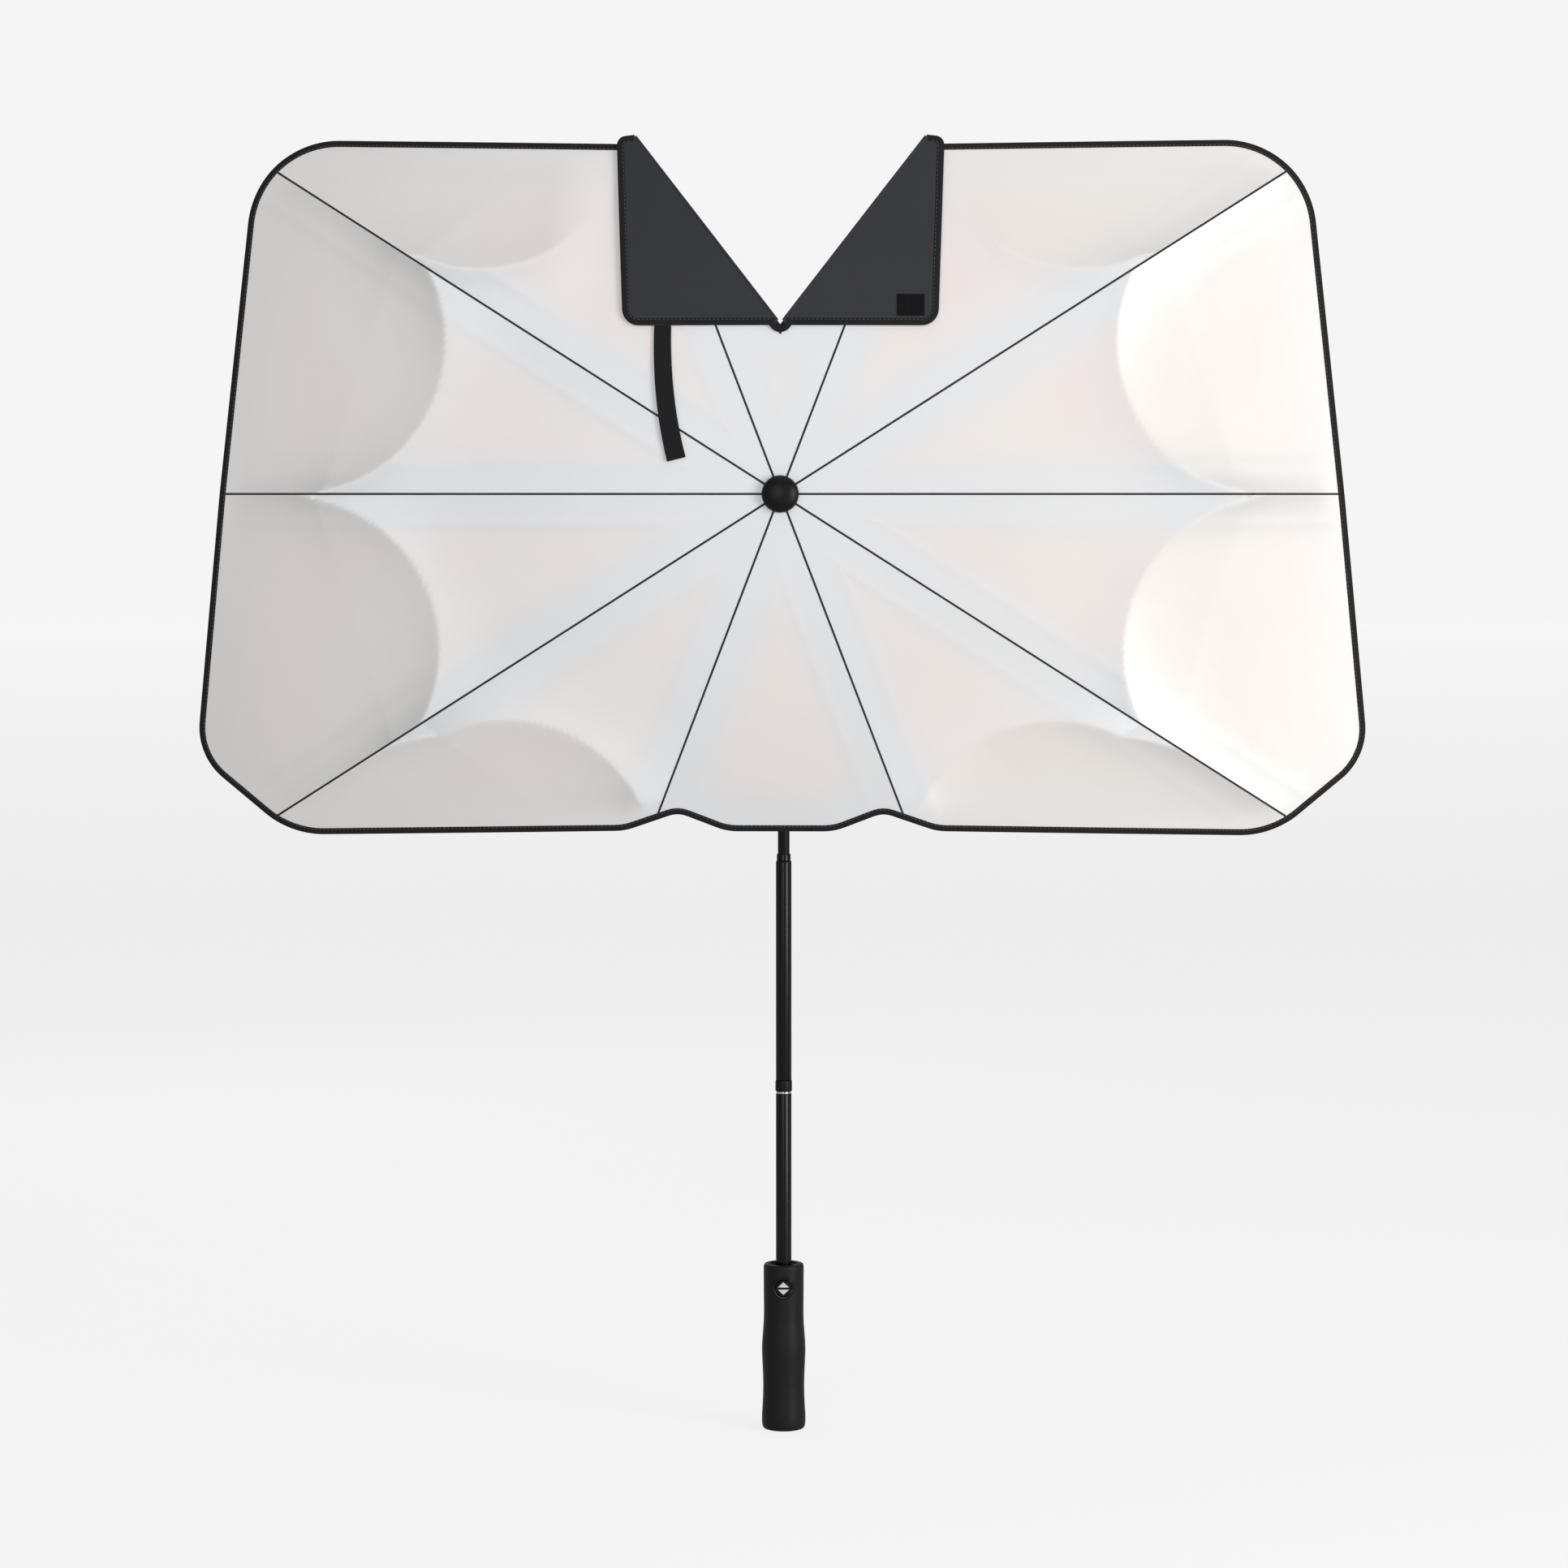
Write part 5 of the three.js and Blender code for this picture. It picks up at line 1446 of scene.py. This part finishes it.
# ---------------------------------------------------------------- tie strap and hook patch
# A black webbing strap, sewn under the left flap's foot, ties the folded canopy.
# It closes on a patch of hook tape, a field of small nylon hooks, on the right flap.
STRAP_W = (17.2 * mm, 19.4 * mm)
STRAP_LINE = [Vector(p) * mm for p in ((-119, 175), (-121.8, 100), (-105.3, 35))]
STRAP_BACK = 7.0 * mm
STRAP_T = 1.2 * mm
STRAP_STEPS = 40


def strap_at(t):
    a, b, c = STRAP_LINE
    return a * (1 - t) ** 2 + b * 2 * t * (1 - t) + c * t * t, ((b - a) * (1 - t) + (c - b) * t).normalized()


strap_edges = ([], [])
for i in range(STRAP_STEPS + 1):
    share = i / STRAP_STEPS
    p, along = strap_at(share)
    half = (STRAP_W[0] * (1 - share) + STRAP_W[1] * share) / 2
    side = Vector((-along.y, along.x)) * half
    strap_edges[0].append(p + side)
    strap_edges[1].append(p - side)


def strap_wave(u, v):
    return 0.9 * mm * math.sin(math.pi * u) ** 2 + 0.7 * mm * u * v


webbing = woven("black_webbing", "#131315", 1.3, 0.8, 0.8)
strap = cloth_sheet("tie_strap_webbing", *strap_edges, 10, STRAP_BACK, STRAP_BACK + STRAP_T, on_cloth, webbing,
                    strap_wave)
fitted(strap, "flap_left", "strap_webbing", "tie_strap")
folds_with(strap)

patch_low, patch_high = node_box("hook_patch")
PATCH_BACK = FLAP_BACK + FLAP_THICK + 0.1 * mm
PATCH_T = 0.5 * mm
HOOK_PITCH = 1.25 * mm
HOOK_HEIGHT = 0.8 * mm
patch_x = (patch_low.x - CROWN.x, patch_high.x - CROWN.x)
patch_z = (patch_low.z - CROWN.z, patch_high.z - CROWN.z)
hook_nylon = woven("black_hook_nylon", "#0b0b0c", 0.7, 0.6, 0.9)
patch_sides = [[Vector((x, patch_z[0] + (patch_z[1] - patch_z[0]) * k / 10)) for k in range(11)] for x in patch_x]
patch = cloth_sheet("hook_patch_base", *patch_sides, 12, PATCH_BACK, PATCH_BACK + PATCH_T, on_flap, hook_nylon)

hooks = geometry_tree("hooks")
hook_height = tree_input(hooks, "Height", "NodeSocketFloat", HOOK_HEIGHT)
hook_material = tree_input(hooks, "Material", "NodeSocketMaterial")
given = add(hooks, "NodeGroupInput")
stem = add(hooks, "GeometryNodeMeshCone", {
    "Vertices": 5,
    "Radius Top": 0.12 * mm,
    "Radius Bottom": 0.26 * mm,
    "Depth": given.outputs["Height"],
})
upright = add(hooks, "GeometryNodeTransform", {
    "Geometry": stem.outputs["Mesh"],
    "Rotation": (math.pi / 2, 0, 0),
})
lean = add(hooks, "FunctionNodeRandomValue", {0: (-0.35, -0.35, -0.35), 1: (0.35, 0.35, 0.35), "Seed": 7},
           data_type="FLOAT_VECTOR")
placed = add(hooks, "GeometryNodeInstanceOnPoints", {
    "Points": given.outputs["Geometry"],
    "Instance": upright.outputs[0],
    "Rotation": lean.outputs[0],
})
real = add(hooks, "GeometryNodeRealizeInstances", {"Geometry": placed.outputs[0]})
clad = add(hooks, "GeometryNodeSetMaterial", {
    "Geometry": real.outputs[0],
    "Material": given.outputs["Material"],
})
add(hooks, "NodeGroupOutput", {"Geometry": clad.outputs[0]})
columns = int((patch_x[1] - patch_x[0]) / HOOK_PITCH)
rows = int((patch_z[1] - patch_z[0]) / HOOK_PITCH)
feet = [
    on_flap(patch_x[0] + (i + 0.5) * HOOK_PITCH, patch_z[0] + (j + 0.5) * HOOK_PITCH, PATCH_BACK + PATCH_T)
    for i in range(columns) for j in range(rows)
]
pile = grown(mesh_object("hook_patch_hooks", feet, []), hooks, {hook_material: hook_nylon})
for part, nodes in ((patch, ("hook_patch",)), (pile, ())):
    fitted(part, "flap_right", "hook_tape", *nodes)
    folds_with(part)
